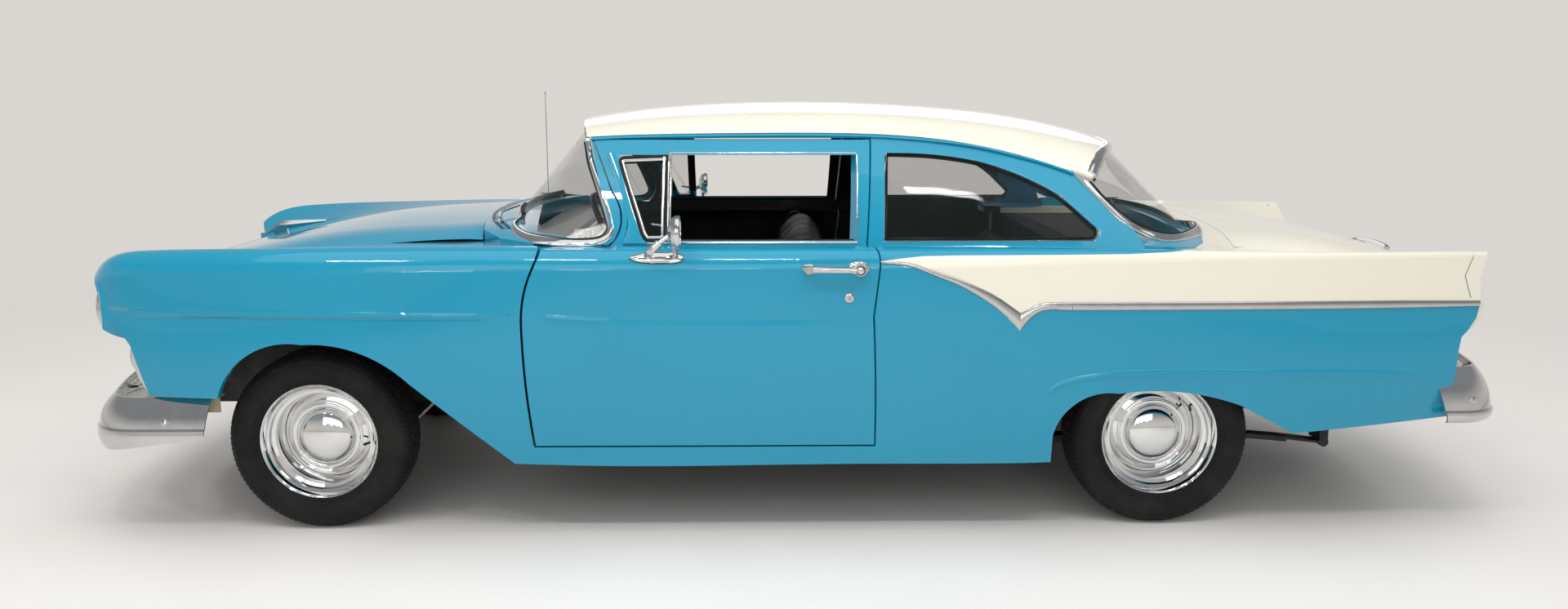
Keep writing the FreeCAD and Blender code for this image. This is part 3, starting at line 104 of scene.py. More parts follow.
class Look(Enum):
    """What a new piece wears: its finish's short name and the slot that stands for it."""

    SPEAR = ("spear", Slot.BRIGHT)
    CHROME = ("chrome", Slot.BRIGHT)
    SEAL = ("seal", Slot.PLASTIC)
    GLASS = ("glass", Slot.WINDOW)
    BLUE = ("blue", Slot.BLUE)
    BLACK = ("plastic", Slot.BLACK)
    TYRE = ("tyre", Slot.TYRE)
    WHEEL = ("wheel_chrome", Slot.WHEEL)
    RUBBER = ("plastic", Slot.PLASTIC)
    STEEL = ("steel", Slot.STEEL)
    MIRROR = ("mirror", Slot.BRIGHT)
    CARD = ("card", Slot.VINYL)
    VINYL = ("vinyl", Slot.VINYL)
    HEADLAMP = ("lamp", Slot.LAMP)
    SMALL_LAMP = ("amber", Slot.LAMP)
    CHASSIS = ("chassis", Slot.BLACK)
    CREAM = ("cream", Slot.CREAM)
    SATIN = ("satin", Slot.BRIGHT)
    RED = ("red", Slot.RED)
    PIPING = ("plastic", Slot.VINYL)
    DASH = ("dash", Slot.DASH)
    DIAL = ("dial", Slot.BLACK)
    ENAMEL = ("dash", Slot.BLACK)
    CARPET = ("carpet", Slot.PLASTIC)


class CarFrame:
    """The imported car: its nodes, its joints and probes that touch its surfaces."""

    def __init__(self, frame: dict) -> None:
        """Keep the nodes and find the front axle.
        """
        self.nodes: dict[str, bpy.types.Object] = frame["nodes"]
        self.joints = {joint["name"]: joint for joint in frame["joints"]}
        self.axle_x: float = self.joints["steer"]["pos_m"][0]
        self._trees: dict[tuple[str, ...], BVHTree] = {}

    def at(self, x: float, y: float, z: float) -> Vector:
        """Return a place in the row frame, from x measured from the front axle."""
        return Vector((x + self.axle_x, y, z))

    def tree(self, *nodes: str) -> BVHTree:
        """Return the search tree of some nodes together.

        Args:
            nodes: Names of CAD nodes.

        Returns:
            Their triangles in one tree.
        """
        if nodes not in self._trees:
            points: list[Vector] = []
            faces: list[list[int]] = []
            for name in nodes:
                data = self.nodes[name].data
                first = len(points)
                points += [v.co.copy() for v in data.vertices]
                faces += [[first + i for i in p.vertices] for p in data.polygons]
            self._trees[nodes] = BVHTree.FromPolygons(points, faces)
        return self._trees[nodes]

    def touch(self, start: Vector, way: Vector, *nodes: str) -> tuple[Vector, Vector]:
        """Send a ray at some nodes and return where it lands.

        Args:
            start: Where the ray starts, in the row frame.
            way: Its direction.
            nodes: Names of the CAD nodes that it may hit.

        Returns:
            The place and the surface's normal there, or the nearest ones where the ray misses.
        """
        tree = self.tree(*nodes)
        place, normal, _, _ = tree.ray_cast(start, way)
        if place is None:
            middle = self.at(-1.6, 0, 0.7)
            reach = max(0.0, (middle - start).dot(way.normalized()) - 0.85)
            place, normal, _, _ = tree.find_nearest(start + way.normalized() * reach)
        if normal.dot(way) > 0:
            normal = -normal
        return place, normal

    def side(self, x: float, z: float, hand: float, *nodes: str) -> tuple[Vector, Vector]:
        """Touch the car's side at x and z, from outside on the hand's side."""
        return self.touch(self.at(x, hand * BESIDE, z), Vector((0, -hand, 0)), *nodes)

    def top(self, x: float, y: float, *nodes: str) -> tuple[Vector, Vector]:
        """Touch the car's top at x and y, from above."""
        return self.touch(self.at(x, y, ABOVE), DOWN, *nodes)


# ------------------------------------------------------------------ finishes
class NodeSheet:
    """A material's node tree, with short calls for the nodes that the finishes share."""

    def __init__(self, name: str) -> None:
        """Start a material that holds one principled shader.

        Args:
            name: The material's name.
        """
        self.material = bpy.data.materials.new(name)
        self.material.use_nodes = True
        self.tree = self.material.node_tree
        self.shader = self.tree.nodes["Principled BSDF"]
        self.place = self.add("ShaderNodeTexCoord").outputs["Object"]

    def add(self, kind: str, **settings: object) -> bpy.types.Node:
        """Add a node and set its properties.

        Args:
            kind: The node's type.
            settings: Its properties.

        Returns:
            The node.
        """
        node = self.tree.nodes.new(kind)
        for key, value in settings.items():
            setattr(node, key, value)
        return node

    def join(self, source: bpy.types.NodeSocket, target: bpy.types.NodeSocket) -> None:
        """Link two sockets."""
        self.tree.links.new(source, target)

    def set(self, **values: object) -> None:
        """Set the shader's own sockets, named with underscores for spaces."""
        for key, value in values.items():
            socket = self.shader.inputs[key.replace("_", " ")]
            socket.default_value = (*value, 1.0) if isinstance(value, tuple) else value

    def noise(self, scale: float, detail: float = 3.0, stretch: Point = (1, 1, 1)) -> bpy.types.NodeSocket:
        """Return a noise pattern in the car's own coordinates.

        Args:
            scale: Repeats in a metre.
            detail: Octaves.
            stretch: Scale along each axis.

        Returns:
            The pattern's value socket.
        """
        mapping = self.add("ShaderNodeMapping")
        mapping.inputs["Scale"].default_value = stretch
        self.join(self.place, mapping.inputs["Vector"])
        node = self.add("ShaderNodeTexNoise")
        node.inputs["Scale"].default_value = scale
        node.inputs["Detail"].default_value = detail
        self.join(mapping.outputs["Vector"], node.inputs["Vector"])
        return node.outputs["Fac"]

    def cells(self, scale: float) -> bpy.types.NodeSocket:
        """Return a cell pattern, such as leather grain.

        Args:
            scale: Cells in a metre.

        Returns:
            The pattern's value socket.
        """
        node = self.add("ShaderNodeTexVoronoi", feature="DISTANCE_TO_EDGE")
        node.inputs["Scale"].default_value = scale
        self.join(self.place, node.inputs["Vector"])
        return node.outputs["Distance"]

    def axis(self, name: str, source: bpy.types.NodeSocket | None = None) -> bpy.types.NodeSocket:
        """Return one coordinate of a vector, or of the place on the car.

        Args:
            name: X, Y or Z.
            source: The vector, or none for the place on the car.

        Returns:
            The coordinate's socket.
        """
        node = self.add("ShaderNodeSeparateXYZ")
        self.join(source or self.place, node.inputs["Vector"])
        return node.outputs[name]

    def sum(self, operation: str, a: object, b: object = 0.0) -> bpy.types.NodeSocket:
        """Return a math node's result for sockets or numbers a and b.

        Args:
            operation: The math node's operation.
            a: A socket or a number.
            b: A socket or a number.

        Returns:
            The result's socket.
        """
        node = self.add("ShaderNodeMath", operation=operation)
        for i, value in enumerate((a, b)):
            if isinstance(value, bpy.types.NodeSocket):
                self.join(value, node.inputs[i])
            else:
                node.inputs[i].default_value = float(value)
        return node.outputs["Value"]

    def span(self, value: bpy.types.NodeSocket, start: float, end: float, low: float = 0.0,
            high: float = 1.0) -> bpy.types.NodeSocket:
        """Return a value mapped from start..end to low..high and held inside them.

        Args:
            value: The socket to map.
            start: Where its range starts.
            end: Where it ends.
            low: The result at the start.
            high: The result at the end.

        Returns:
            The result's socket.
        """
        node = self.add("ShaderNodeMapRange")
        self.join(value, node.inputs["Value"])
        for key, number in (("From Min", start), ("From Max", end), ("To Min", low), ("To Max", high)):
            node.inputs[key].default_value = number
        return node.outputs["Result"]

    def curve(self, value: bpy.types.NodeSocket, points: Sequence[Flat], reach: Flat,
            height: Flat) -> bpy.types.NodeSocket:
        """Return a value read from straight runs between points.

        Args:
            value: What is looked up, such as the place along the car.
            points: Lookup and result, in order.
            reach: The lowest and highest lookup.
            height: The lowest and highest result.

        Returns:
            The result's socket.
        """
        node = self.add("ShaderNodeFloatCurve")
        line = node.mapping.curves[0]
        flat = [((x - reach[0]) / (reach[1] - reach[0]), (y - height[0]) / (height[1] - height[0]))
            for x, y in sorted(points)]
        line.points[0].location, line.points[1].location = flat[0], flat[-1]
        for x, y in flat[1:-1]:
            line.points.new(x, y)
        for point in line.points:
            point.handle_type = "VECTOR"
        node.mapping.update()
        self.join(self.span(value, reach[0], reach[1]), node.inputs["Value"])
        return self.span(node.outputs["Value"], 0.0, 1.0, height[0], height[1])

    def blend(self, factor: bpy.types.NodeSocket, a: object, b: object) -> bpy.types.NodeSocket:
        """Return a colour mixed from a to b, each a colour or a socket.

        Args:
            factor: 0 for a, 1 for b.
            a: A colour or a socket.
            b: A colour or a socket.

        Returns:
            The colour's socket.
        """
        node = self.add("ShaderNodeMix", data_type="RGBA")
        self.join(factor, node.inputs["Factor"])
        for key, value in ((6, a), (7, b)):
            if isinstance(value, bpy.types.NodeSocket):
                self.join(value, node.inputs[key])
            else:
                node.inputs[key].default_value = (*value, 1.0)
        return node.outputs[2]

    def colour(self, source: bpy.types.NodeSocket) -> None:
        """Feed the shader's base colour."""
        self.join(source, self.shader.inputs["Base Color"])

    def rough(self, source: bpy.types.NodeSocket) -> None:
        """Feed the shader's roughness."""
        self.join(source, self.shader.inputs["Roughness"])

    def bump(self, height: bpy.types.NodeSocket, strength: float, depth: float) -> None:
        """Add relief to the shader's normal, over any relief already there.

        Args:
            height: The relief's socket.
            strength: How much it shows, up to 1.
            depth: Its depth in metres.
        """
        node = self.add("ShaderNodeBump")
        node.inputs["Strength"].default_value = strength
        node.inputs["Distance"].default_value = depth
        self.join(height, node.inputs["Height"])
        if self.shader.inputs["Normal"].is_linked:
            self.join(self.shader.inputs["Normal"].links[0].from_socket, node.inputs["Normal"])
        self.join(node.outputs["Normal"], self.shader.inputs["Normal"])


def shade(colour: Colour, by: float) -> Colour:
    """Return a colour made lighter or darker by a share."""
    return tuple(min(1.0, c * by) for c in colour)


class Finish:
    """A finish that builds its material once and hands it to every piece that wears it."""

    def material(self) -> bpy.types.Material:
        """Return the finish's material, made at the first call.

        Returns:
            The finished material.
        """
        name = self.name
        if name not in bpy.data.materials:
            self.build(NodeSheet(name))
        return bpy.data.materials[name]

    def build(self, sheet: NodeSheet) -> None:
        """Fill the material's nodes."""
        raise NotImplementedError


def clouded(sheet: NodeSheet, tone: Colour, dark: float = 0.975,
        light: float = 1.015) -> bpy.types.NodeSocket:
    """Return a paint's colour with a faint cloud from a darker to a lighter share of it."""
    return sheet.blend(sheet.span(sheet.noise(2.2, 4.0), 0.3, 0.7), shade(tone, dark), shade(tone, light))


class Lining(Enum):
    """Which faces of a painted panel are lined in black."""

    NONE = 0
    INNER = 1
    UNDER = 2


def lined(sheet: NodeSheet, lining: Lining, colour: bpy.types.NodeSocket) -> bpy.types.NodeSocket:
    """Return a panel's colour with its inner or under faces black.

    Args:
        sheet: The panel's material.
        lining: Which faces are black.
        colour: The outer colour.

    Returns:
        The mixed colour's socket.
    """
    if lining is Lining.NONE:
        return colour
    facing = sheet.add("ShaderNodeTexCoord").outputs["Normal"]
    if lining is Lining.UNDER:
        inward = sheet.sum("MULTIPLY", sheet.axis("Z", facing), -1.0)
    else:
        hand = sheet.sum("SIGN", sheet.axis("Y"))
        inward = sheet.sum("MULTIPLY", sheet.sum("MULTIPLY", sheet.axis("Y", facing), hand), -1.0)
        inward = sheet.sum("MULTIPLY", inward, sheet.span(sheet.axis("X"), -0.98, -0.95))
    return sheet.blend(sheet.span(inward, 0.15, 0.3), colour, (0.018, 0.018, 0.02))


@dataclass(frozen=True)
class PaintFinish(Finish):
    """Gloss body paint with a faint cloud in its colour, polish haze and orange peel."""

    name: str
    tone: Colour
    lining: Lining = Lining.NONE
    gloss: float = 0.2
    coat: float = 1.0

    def build(self, sheet: NodeSheet) -> None:
        """Fill the nodes of one colour of paint."""
        sheet.colour(lined(sheet, self.lining, clouded(sheet, self.tone)))
        paint_surface(sheet, self.gloss, self.coat)


def paint_surface(sheet: NodeSheet, gloss: float, coat: float) -> None:
    """Give paint its clear coat, its haze and its orange peel.

    Args:
        sheet: The material to fill.
        gloss: The paint's roughness.
        coat: The clear coat's weight.
    """
    sheet.set(Coat_Weight=coat, Coat_Roughness=0.03, Coat_IOR=1.45, IOR=1.25)
    sheet.rough(sheet.span(sheet.noise(3.0, 5.0), 0.3, 0.75, gloss, gloss + 0.05))
    sheet.bump(sheet.noise(420.0, 1.0), 0.006, 0.0002)


@dataclass(frozen=True)
class TwoTonePaint(Finish):
    """The body side's paint: cream between the side spear and the shoulder, blue round it."""

    name: str
    blue: Colour
    cream: Colour
    axle_x: float
    spear: tuple[Flat, ...]
    shoulder: tuple[Flat, ...]
    lining: Lining = Lining.INNER

    def build(self, sheet: NodeSheet) -> None:
        """Fill the nodes of both colours and the lines where they meet.

        Args:
            sheet: The material to fill.
        """
        x = sheet.sum("SUBTRACT", sheet.axis("X"), self.axle_x)
        spear_z = sheet.curve(x, self.spear, (-4.1, -1.9), (0.7, 1.0))
        shoulder_z = sheet.curve(x, self.shoulder, (-4.1, -1.9), (0.9, 1.2))
        z = sheet.axis("Z")
        over = sheet.span(sheet.sum("SUBTRACT", z, spear_z), -0.001, 0.001)
        under = sheet.span(sheet.sum("SUBTRACT", shoulder_z, z), -0.001, 0.001)
        cream = sheet.sum("MULTIPLY", sheet.sum("MULTIPLY", over, under),
            sheet.span(x, -1.936, -1.932, 1.0, 0.0))
        two = sheet.blend(cream, clouded(sheet, self.blue), clouded(sheet, self.cream, 0.99, 1.005))
        sheet.colour(lined(sheet, self.lining, two))
        paint_surface(sheet, 0.2, 1.0)


@dataclass(frozen=True)
class DeckPaint(Finish):
    """The rear deck's paint: blue round the window's foot, cream behind the line."""

    name: str
    blue: Colour
    cream: Colour
    axle_x: float
    line: tuple[Flat, ...]

    def build(self, sheet: NodeSheet) -> None:
        """Fill the nodes of both colours and the line where they meet.

        Args:
            sheet: The material to fill.
        """
        across = sheet.sum("ABSOLUTE", sheet.axis("Y"))
        line_x = sheet.curve(across, self.line, (0.0, 1.0), (-3.2, -2.9))
        x = sheet.sum("SUBTRACT", sheet.axis("X"), self.axle_x)
        front = sheet.span(sheet.sum("SUBTRACT", x, line_x), -0.001, 0.001)
        sheet.colour(sheet.blend(front, clouded(sheet, self.cream, 0.99, 1.005), clouded(sheet, self.blue)))
        paint_surface(sheet, 0.22, 1.0)


@dataclass(frozen=True)
class MetalFinish(Finish):
    """Plated or bare metal with polish haze and fine scratches."""

    name: str
    tone: Colour
    low: float = 0.05
    high: float = 0.16
    scratch: float = 0.03

    def build(self, sheet: NodeSheet) -> None:
        """Fill the nodes of the metal.

        Args:
            sheet: The material to fill.
        """
        sheet.set(Metallic=1.0)
        haze = sheet.span(sheet.noise(14.0, 5.0), 0.35, 0.7)
        sheet.colour(sheet.blend(haze, self.tone, shade(self.tone, 0.9)))
        sheet.rough(sheet.span(sheet.noise(32.0, 6.0, (1, 1, 4)), 0.35, 0.7, self.low, self.high))
        sheet.bump(sheet.noise(240.0, 4.0, (1, 1, 8)), self.scratch, 0.0004)


@dataclass(frozen=True)
class GlassFinish(Finish):
    """Clear glass that lets light and shadow rays through, with a faint film of dust."""

    name: str
    tone: Colour = (0.030, 0.042, 0.040)
    body: float = 0.13

    def build(self, sheet: NodeSheet) -> None:
        """Fill the nodes of the glass.

        Args:
            sheet: The material to fill.
        """
        film = sheet.span(sheet.noise(2.0, 3.0), 0.35, 0.75, self.body, self.body + 0.03)
        sheet.join(film, sheet.shader.inputs["Alpha"])
        sheet.colour(sheet.blend(sheet.span(sheet.noise(3.0), 0.3, 0.7), self.tone, shade(self.tone, 0.93)))
        sheet.set(Metallic=0.0, IOR=1.52, Coat_Weight=0.0)
        sheet.rough(sheet.span(sheet.noise(11.0, 4.0), 0.3, 0.7, 0.01, 0.06))


@dataclass(frozen=True)
class LensFinish(Finish):
    """Moulded lamp glass with fine flutes on its face."""

    name: str
    tone: Colour
    flutes: float
    clear: float = 0.6

    def build(self, sheet: NodeSheet) -> None:
        """Fill the nodes of the lens.

        Args:
            sheet: The material to fill.
        """
        sheet.colour(sheet.blend(sheet.span(sheet.noise(18.0), 0.35, 0.7), self.tone, shade(self.tone, 0.8)))
        sheet.set(Transmission_Weight=self.clear, IOR=1.5, Coat_Weight=0.6, Coat_Roughness=0.03)
        sheet.rough(sheet.span(sheet.noise(40.0, 3.0), 0.3, 0.7, 0.05, 0.14))
        wave = sheet.sum("SINE", sheet.sum("MULTIPLY", sheet.axis("Y"), self.flutes))
        sheet.bump(wave, 0.35, 0.002)


@dataclass(frozen=True)
class RubberFinish(Finish):
    """Dark rubber with a dry bloom and a little dust."""

    name: str
    tone: Colour = (0.010, 0.010, 0.011)
    dust: Colour = (0.020, 0.019, 0.018)

    def build(self, sheet: NodeSheet) -> None:
        """Fill the nodes of the rubber.

        Args:
            sheet: The material to fill.
        """
        bloom = sheet.span(sheet.noise(7.0, 6.0), 0.42, 0.72)
        sheet.colour(sheet.blend(bloom, self.tone, self.dust))
        sheet.set(IOR=1.28)
        sheet.rough(sheet.span(sheet.noise(26.0, 4.0), 0.3, 0.7, 0.55, 0.78))
        sheet.bump(sheet.noise(300.0, 3.0), 0.12, 0.0008)


@dataclass(frozen=True)
class VinylFinish(Finish):
    """Grained vinyl with a soft sheen."""

    name: str
    tone: Colour
    grain: float = 420.0

    def build(self, sheet: NodeSheet) -> None:
        """Fill the nodes of the vinyl.

        Args:
            sheet: The material to fill.
        """
        worn = sheet.span(sheet.noise(5.0, 5.0), 0.4, 0.75)
        sheet.colour(sheet.blend(worn, self.tone, shade(self.tone, 1.7)))
        sheet.set(Sheen_Weight=0.01, IOR=1.20, Specular_IOR_Level=0.25)
        sheet.rough(sheet.span(sheet.noise(12.0, 4.0), 0.3, 0.7, 0.42, 0.60))
        sheet.bump(sheet.cells(self.grain), 0.25, 0.0012)


@dataclass(frozen=True)
class RoughFinish(Finish):
    """A dull surface in two tones: carpet, underseal, cast iron or felt."""

    name: str
    tone: Colour
    second: Colour
    scale: float
    relief: float
    metal: float = 0.0
    low: float = 0.6
    high: float = 0.9

    def build(self, sheet: NodeSheet) -> None:
        """Fill the nodes of the dull surface.

        Args:
            sheet: The material to fill.
        """
        patch = sheet.span(sheet.noise(self.scale / 20, 6.0), 0.4, 0.7)
        sheet.colour(sheet.blend(patch, self.tone, self.second))
        sheet.set(Metallic=self.metal)
        sheet.rough(sheet.span(sheet.noise(self.scale / 8, 4.0), 0.3, 0.7, self.low, self.high))
        sheet.bump(sheet.noise(self.scale, 3.0), self.relief, 0.002)


BLUE_TONE: Colour = (0.006, 0.295, 0.475)
CREAM_TONE: Colour = (0.88, 0.85, 0.73)
# The side spear's upper and lower edges: place along the car, then the two heights
SPEAR_EDGES = (
    (-1.938, 0.966, 0.960), (-2.035, 0.963, 0.950), (-2.136, 0.931, 0.912), (-2.218, 0.903, 0.878),
    (-2.315, 0.858, 0.818), (-2.380, 0.815, 0.764), (-2.412, 0.792, 0.731), (-2.446, 0.812, 0.773),
    (-2.481, 0.826, 0.796), (-2.524, 0.829, 0.802), (-2.600, 0.829, 0.799), (-3.100, 0.828, 0.798),
    (-3.660, 0.826, 0.798), (-3.992, 0.820, 0.799),
)
# The line where the cream ends below the windows: place along the car and height
SHOULDER_LINE = ((-1.930, 0.966), (-2.000, 0.975), (-2.082, 0.983), (-2.218, 0.9852), (-2.545, 0.9862),
    (-2.777, 0.988), (-2.903, 0.993), (-2.961, 0.997), (-3.000, 1.02), (-3.060, 1.19))
# The line on the rear deck where the blue ends: distance from the middle, then place along the car
DECK_LINE = ((0.0, -3.160), (0.30, -3.156), (0.591, -3.137), (0.727, -3.097), (0.813, -3.044),
    (0.935, -2.961), (1.0, -2.930))


def make_finishes(axle_x: float) -> dict[str, Finish]:
    """Return the car's finishes by short name.

    Args:
        axle_x: The front axle's place in the row frame.

    Returns:
        Each finish under the name that the classes below use.
    """
    spear = tuple((x, (high + low) / 2) for x, high, low in SPEAR_EDGES)
    return {"blue": PaintFinish("turquoise paint", BLUE_TONE),
        "blue_lined": PaintFinish("turquoise paint on doors", BLUE_TONE, Lining.INNER),
        "cream": PaintFinish("cream paint", CREAM_TONE, gloss=0.24),
        "cream_lined": PaintFinish("cream paint on the roof", CREAM_TONE, Lining.UNDER, gloss=0.24),
        "side": TwoTonePaint("two tone side paint", BLUE_TONE, CREAM_TONE, axle_x, spear, SHOULDER_LINE),
        "deck": DeckPaint("two tone deck paint", BLUE_TONE, CREAM_TONE, axle_x, DECK_LINE),
        "pan": PaintFinish("beige splash pan paint", (0.42, 0.36, 0.24), gloss=0.35, coat=0.3),
        "chrome": MetalFinish("chrome plate", (0.62, 0.62, 0.61), 0.04, 0.12),
        "wheel_chrome": MetalFinish("wheel chrome", (0.76, 0.76, 0.76), 0.03, 0.09),
        "satin": MetalFinish("satin stainless trim", (0.72, 0.71, 0.69), 0.14, 0.26, 0.06),
        "spear": MetalFinish("brushed side spear", (0.56, 0.56, 0.55), 0.16, 0.26, 0.06),
        "steel": MetalFinish("plain steel", (0.34, 0.33, 0.32), 0.3, 0.5, 0.12),
        "glass": GlassFinish("window glass"), "mirror": MetalFinish("mirror silver", (0.9, 0.92, 0.93), 0.0,
        0.02, 0.0), "lamp": LensFinish("headlamp glass", (0.88, 0.90, 0.90), 420.0, 0.75),
        "red": LensFinish("red lens", (0.50, 0.012, 0.010), 900.0, 0.35),
        "amber": LensFinish("parking lamp glass", (0.90, 0.88, 0.82), 700.0, 0.5),
        "tyre": RubberFinish("tyre rubber"), "seal": RubberFinish("window rubber", (0.012, 0.012, 0.012),
        (0.03, 0.03, 0.03)), "vinyl": VinylFinish("black seat vinyl", (0.007, 0.007, 0.008)),
        "card": VinylFinish("black door card vinyl", (0.012, 0.012, 0.013), 300.0),
        "carpet": RoughFinish("black carpet", (0.012, 0.012, 0.012), (0.03, 0.03, 0.03), 500.0, 0.5),
        "chassis": RoughFinish("chassis black", (0.012, 0.012, 0.012), (0.035, 0.032, 0.03), 160.0, 0.15,
        low=0.45, high=0.7), "iron": RoughFinish("painted iron", (0.05, 0.06, 0.07), (0.10, 0.10, 0.10),
        220.0, 0.2, low=0.4, high=0.65), "dash": PaintFinish("black dash enamel", (0.012, 0.012, 0.013),
        gloss=0.28, coat=0.5), "plastic": PaintFinish("hard black rubber", (0.014, 0.014, 0.014), gloss=0.25,
        coat=0.4), "dial": RoughFinish("dial face", (0.55, 0.54, 0.48), (0.62, 0.61, 0.56), 300.0, 0.02,
        low=0.4, high=0.5),}


# ------------------------------------------------------------------ shapes
@dataclass
class Shape:
    """Vertices and faces on their way to becoming a mesh."""

    points: list[Vector] = field(default_factory=list)
    faces: list[tuple[int, ...]] = field(default_factory=list)

    def add(self, other: "Shape") -> "Shape":
        """Append another shape and return this one.

        Args:
            other: The shape to append.

        Returns:
            This shape.
        """
        first = len(self.points)
        self.points += other.points
        self.faces += [tuple(first + i for i in face) for face in other.faces]
        return self


def smooth_run(points: Sequence[Vector], steps: int = 6) -> list[Vector]:
    """Return more points on a smooth line through some points.

    Args:
        points: The points that the line passes through.
        steps: Parts between each two of them.

    Returns:
        The line's points, ends included.
    """
    run: list[Vector] = []
    for i in range(len(points) - 1):
        a = points[i - 1] if i else points[0] * 2 - points[1]
        b, c = points[i], points[i + 1]
        d = points[i + 2] if i + 2 < len(points) else points[-1] * 2 - points[-2]
        for k in range(steps):
            t = k / steps
            run.append(0.5 * ((2 * b) + (c - a) * t + (2 * a - 5 * b + 4 * c - d) * t * t
                + (3 * b - a - 3 * c + d) * t ** 3))
    run.append(points[-1].copy())
    return run


def grid(rows: Sequence[Sequence[Vector]], closed_rows: bool = False, closed_run: bool = False,
        caps: bool = False) -> Shape:
    """Return a surface through rows of points.

    Args:
        rows: One list of points for each station, all of one length.
        closed_rows: Whether each row joins its own ends.
        closed_run: Whether the last row joins the first.
        caps: Whether the first and last rows are filled.

    Returns:
        The surface's points and faces.
    """
    width = len(rows[0])
    shape = Shape([p for row in rows for p in row])
    for i in range(len(rows) if closed_run else len(rows) - 1):
        a, b = i * width, ((i + 1) % len(rows)) * width
        for j in range(width if closed_rows else width - 1):
            k = (j + 1) % width
            shape.faces.append((a + j, a + k, b + k, b + j))
    if caps:
        shape.faces.append(tuple(range(width))[::-1])
        last = (len(rows) - 1) * width
        shape.faces.append(tuple(range(last, last + width)))
    return shape


def swept(run: Sequence[Vector], outs: Sequence[Vector], profile: Sequence[Flat]) -> Shape:
    """Return a closed section carried along a line.

    Args:
        run: The line's points.
        outs: The outward direction at each point.
        profile: The section's points, across the line and outwards.

    Returns:
        The bar with its ends filled.
    """
    rows = []
    for i, place in enumerate(run):
        along = (run[min(i + 1, len(run) - 1)] - run[max(i - 1, 0)]).normalized()
        out = (outs[i] - along * outs[i].dot(along)).normalized()
        across = along.cross(out)
        rows.append([place + across * a + out * b for a, b in profile])
    return grid(rows, closed_rows=True, caps=True)


def round_section(radius: float, count: int = 12) -> list[Flat]:
    """Return a circle's points."""
    return [(radius * math.cos(2 * math.pi * i / count), radius * math.sin(2 * math.pi * i / count))
        for i in range(count)]


def bead_section(width: float, height: float, sink: float = 0.002) -> list[Flat]:
    """Return a half-round moulding's section, sunk a little into what it lies on.

    Args:
        width: Its width.
        height: Its height.
        sink: How far its edges go in.

    Returns:
        Its points, across and outwards.
    """
    half = width / 2
    arch = [(half * math.cos(math.pi * i / 10), height * math.sin(math.pi * i / 10) ** 0.8)
        for i in range(11)]
    return [(half, -sink)] + arch + [(-half, -sink)]


def tube(run: Sequence[Vector], radius: float, count: int = 12) -> Shape:
    """Return a round bar along a line.

    Args:
        run: The line's points.
        radius: Its radius.
        count: Sides of its section.

    Returns:
        The bar with its ends filled.
    """
    outs = []
    out = UP
    for i in range(len(run)):
        along = (run[min(i + 1, len(run) - 1)] - run[max(i - 1, 0)]).normalized()
        if abs(out.dot(along)) > 0.95:
            out = LEFT if abs(along.y) < 0.9 else FORWARD
        out = (out - along * out.dot(along)).normalized()
        outs.append(out.copy())
    return swept(run, outs, round_section(radius, count))


def turned(profile: Sequence[Flat], centre: Vector, axis: Vector, count: int = 96,
        change: Callable[[int, int], float] | None = None) -> Shape:
    """Return a shape turned about an axis.

    Args:
        profile: Radius and distance along the axis, in order.
        centre: Where the axis starts.
        axis: Its direction.
        count: Segments round it.
        change: What is added to the radius for a profile point and a segment.

    Returns:
        The turned surface, open where the profile is.
    """
    axis = axis.normalized()
    first = axis.orthogonal().normalized()
    if abs(axis.y) > 0.9:
        first = UP if abs(axis.z) < 0.1 else first
    second = axis.cross(first)
    rows = []
    for k in range(count):
        turn = 2 * math.pi * k / count
        way = first * math.cos(turn) + second * math.sin(turn)
        rows.append([centre + way * (r + (change(i, k) if change else 0.0)) + axis * a
            for i, (r, a) in enumerate(profile)])
    return grid(rows, closed_run=True)


def rounded_profile(points: Sequence[Flat], radius: float, steps: int = 4) -> list[Flat]:
    """Return a profile whose corners are rounded by short arcs.

    Args:
        points: The profile's points, in order.
        radius: The arcs' reach.
        steps: Parts of each arc.

    Returns:
        The rounded profile, whose first and last points stay.
    """
    run = [Vector((x, y, 0)) for x, y in points]
    out: list[Flat] = [points[0]]
    for a, b, c in zip(run, run[1:], run[2:]):
        before, after = a - b, c - b
        reach = min(radius, before.length * 0.45, after.length * 0.45)
        p, q = b + before.normalized() * reach, b + after.normalized() * reach
        for i in range(steps + 1):
            t = i / steps
            r = p * (1 - t) ** 2 + b * 2 * t * (1 - t) + q * t * t
            out.append((r.x, r.y))
    out.append(points[-1])
    return out


def mm(*pairs: Flat, tip: float | None = None) -> list[Flat]:
    """Return a profile or an outline that is written in millimetres.

    Args:
        pairs: Its points.
        tip: Where it closes on its axis, if it does.

    Returns:
        The points in metres.
    """
    points = [(a / 1000, b / 1000) for a, b in pairs]
    return points if tip is None else points + [(TIP, tip / 1000)]


def dome(radius: float, foot: float, rise: float, steps: int, first: int = 0) -> list[Flat]:
    """Return a dome's profile, from its edge to its tip.

    Args:
        radius: The dome's radius at its foot.
        foot: Where the foot lies along the axis.
        rise: The dome's height.
        steps: Parts between edge and tip.
        first: Parts left out at the edge.

    Returns:
        Radius and distance along the axis.
    """
    turns = [math.pi / 2 * i / steps for i in range(first, steps)]
    return [(radius * math.cos(t), foot + rise * math.sin(t)) for t in turns] + [(TIP, foot + rise)]


def oblong(wide: float, high: float) -> tuple[Flat, ...]:
    """Return a rectangle's corners from its half width and half height."""
    return (-wide, -high), (wide, -high), (wide, high), (-wide, high)


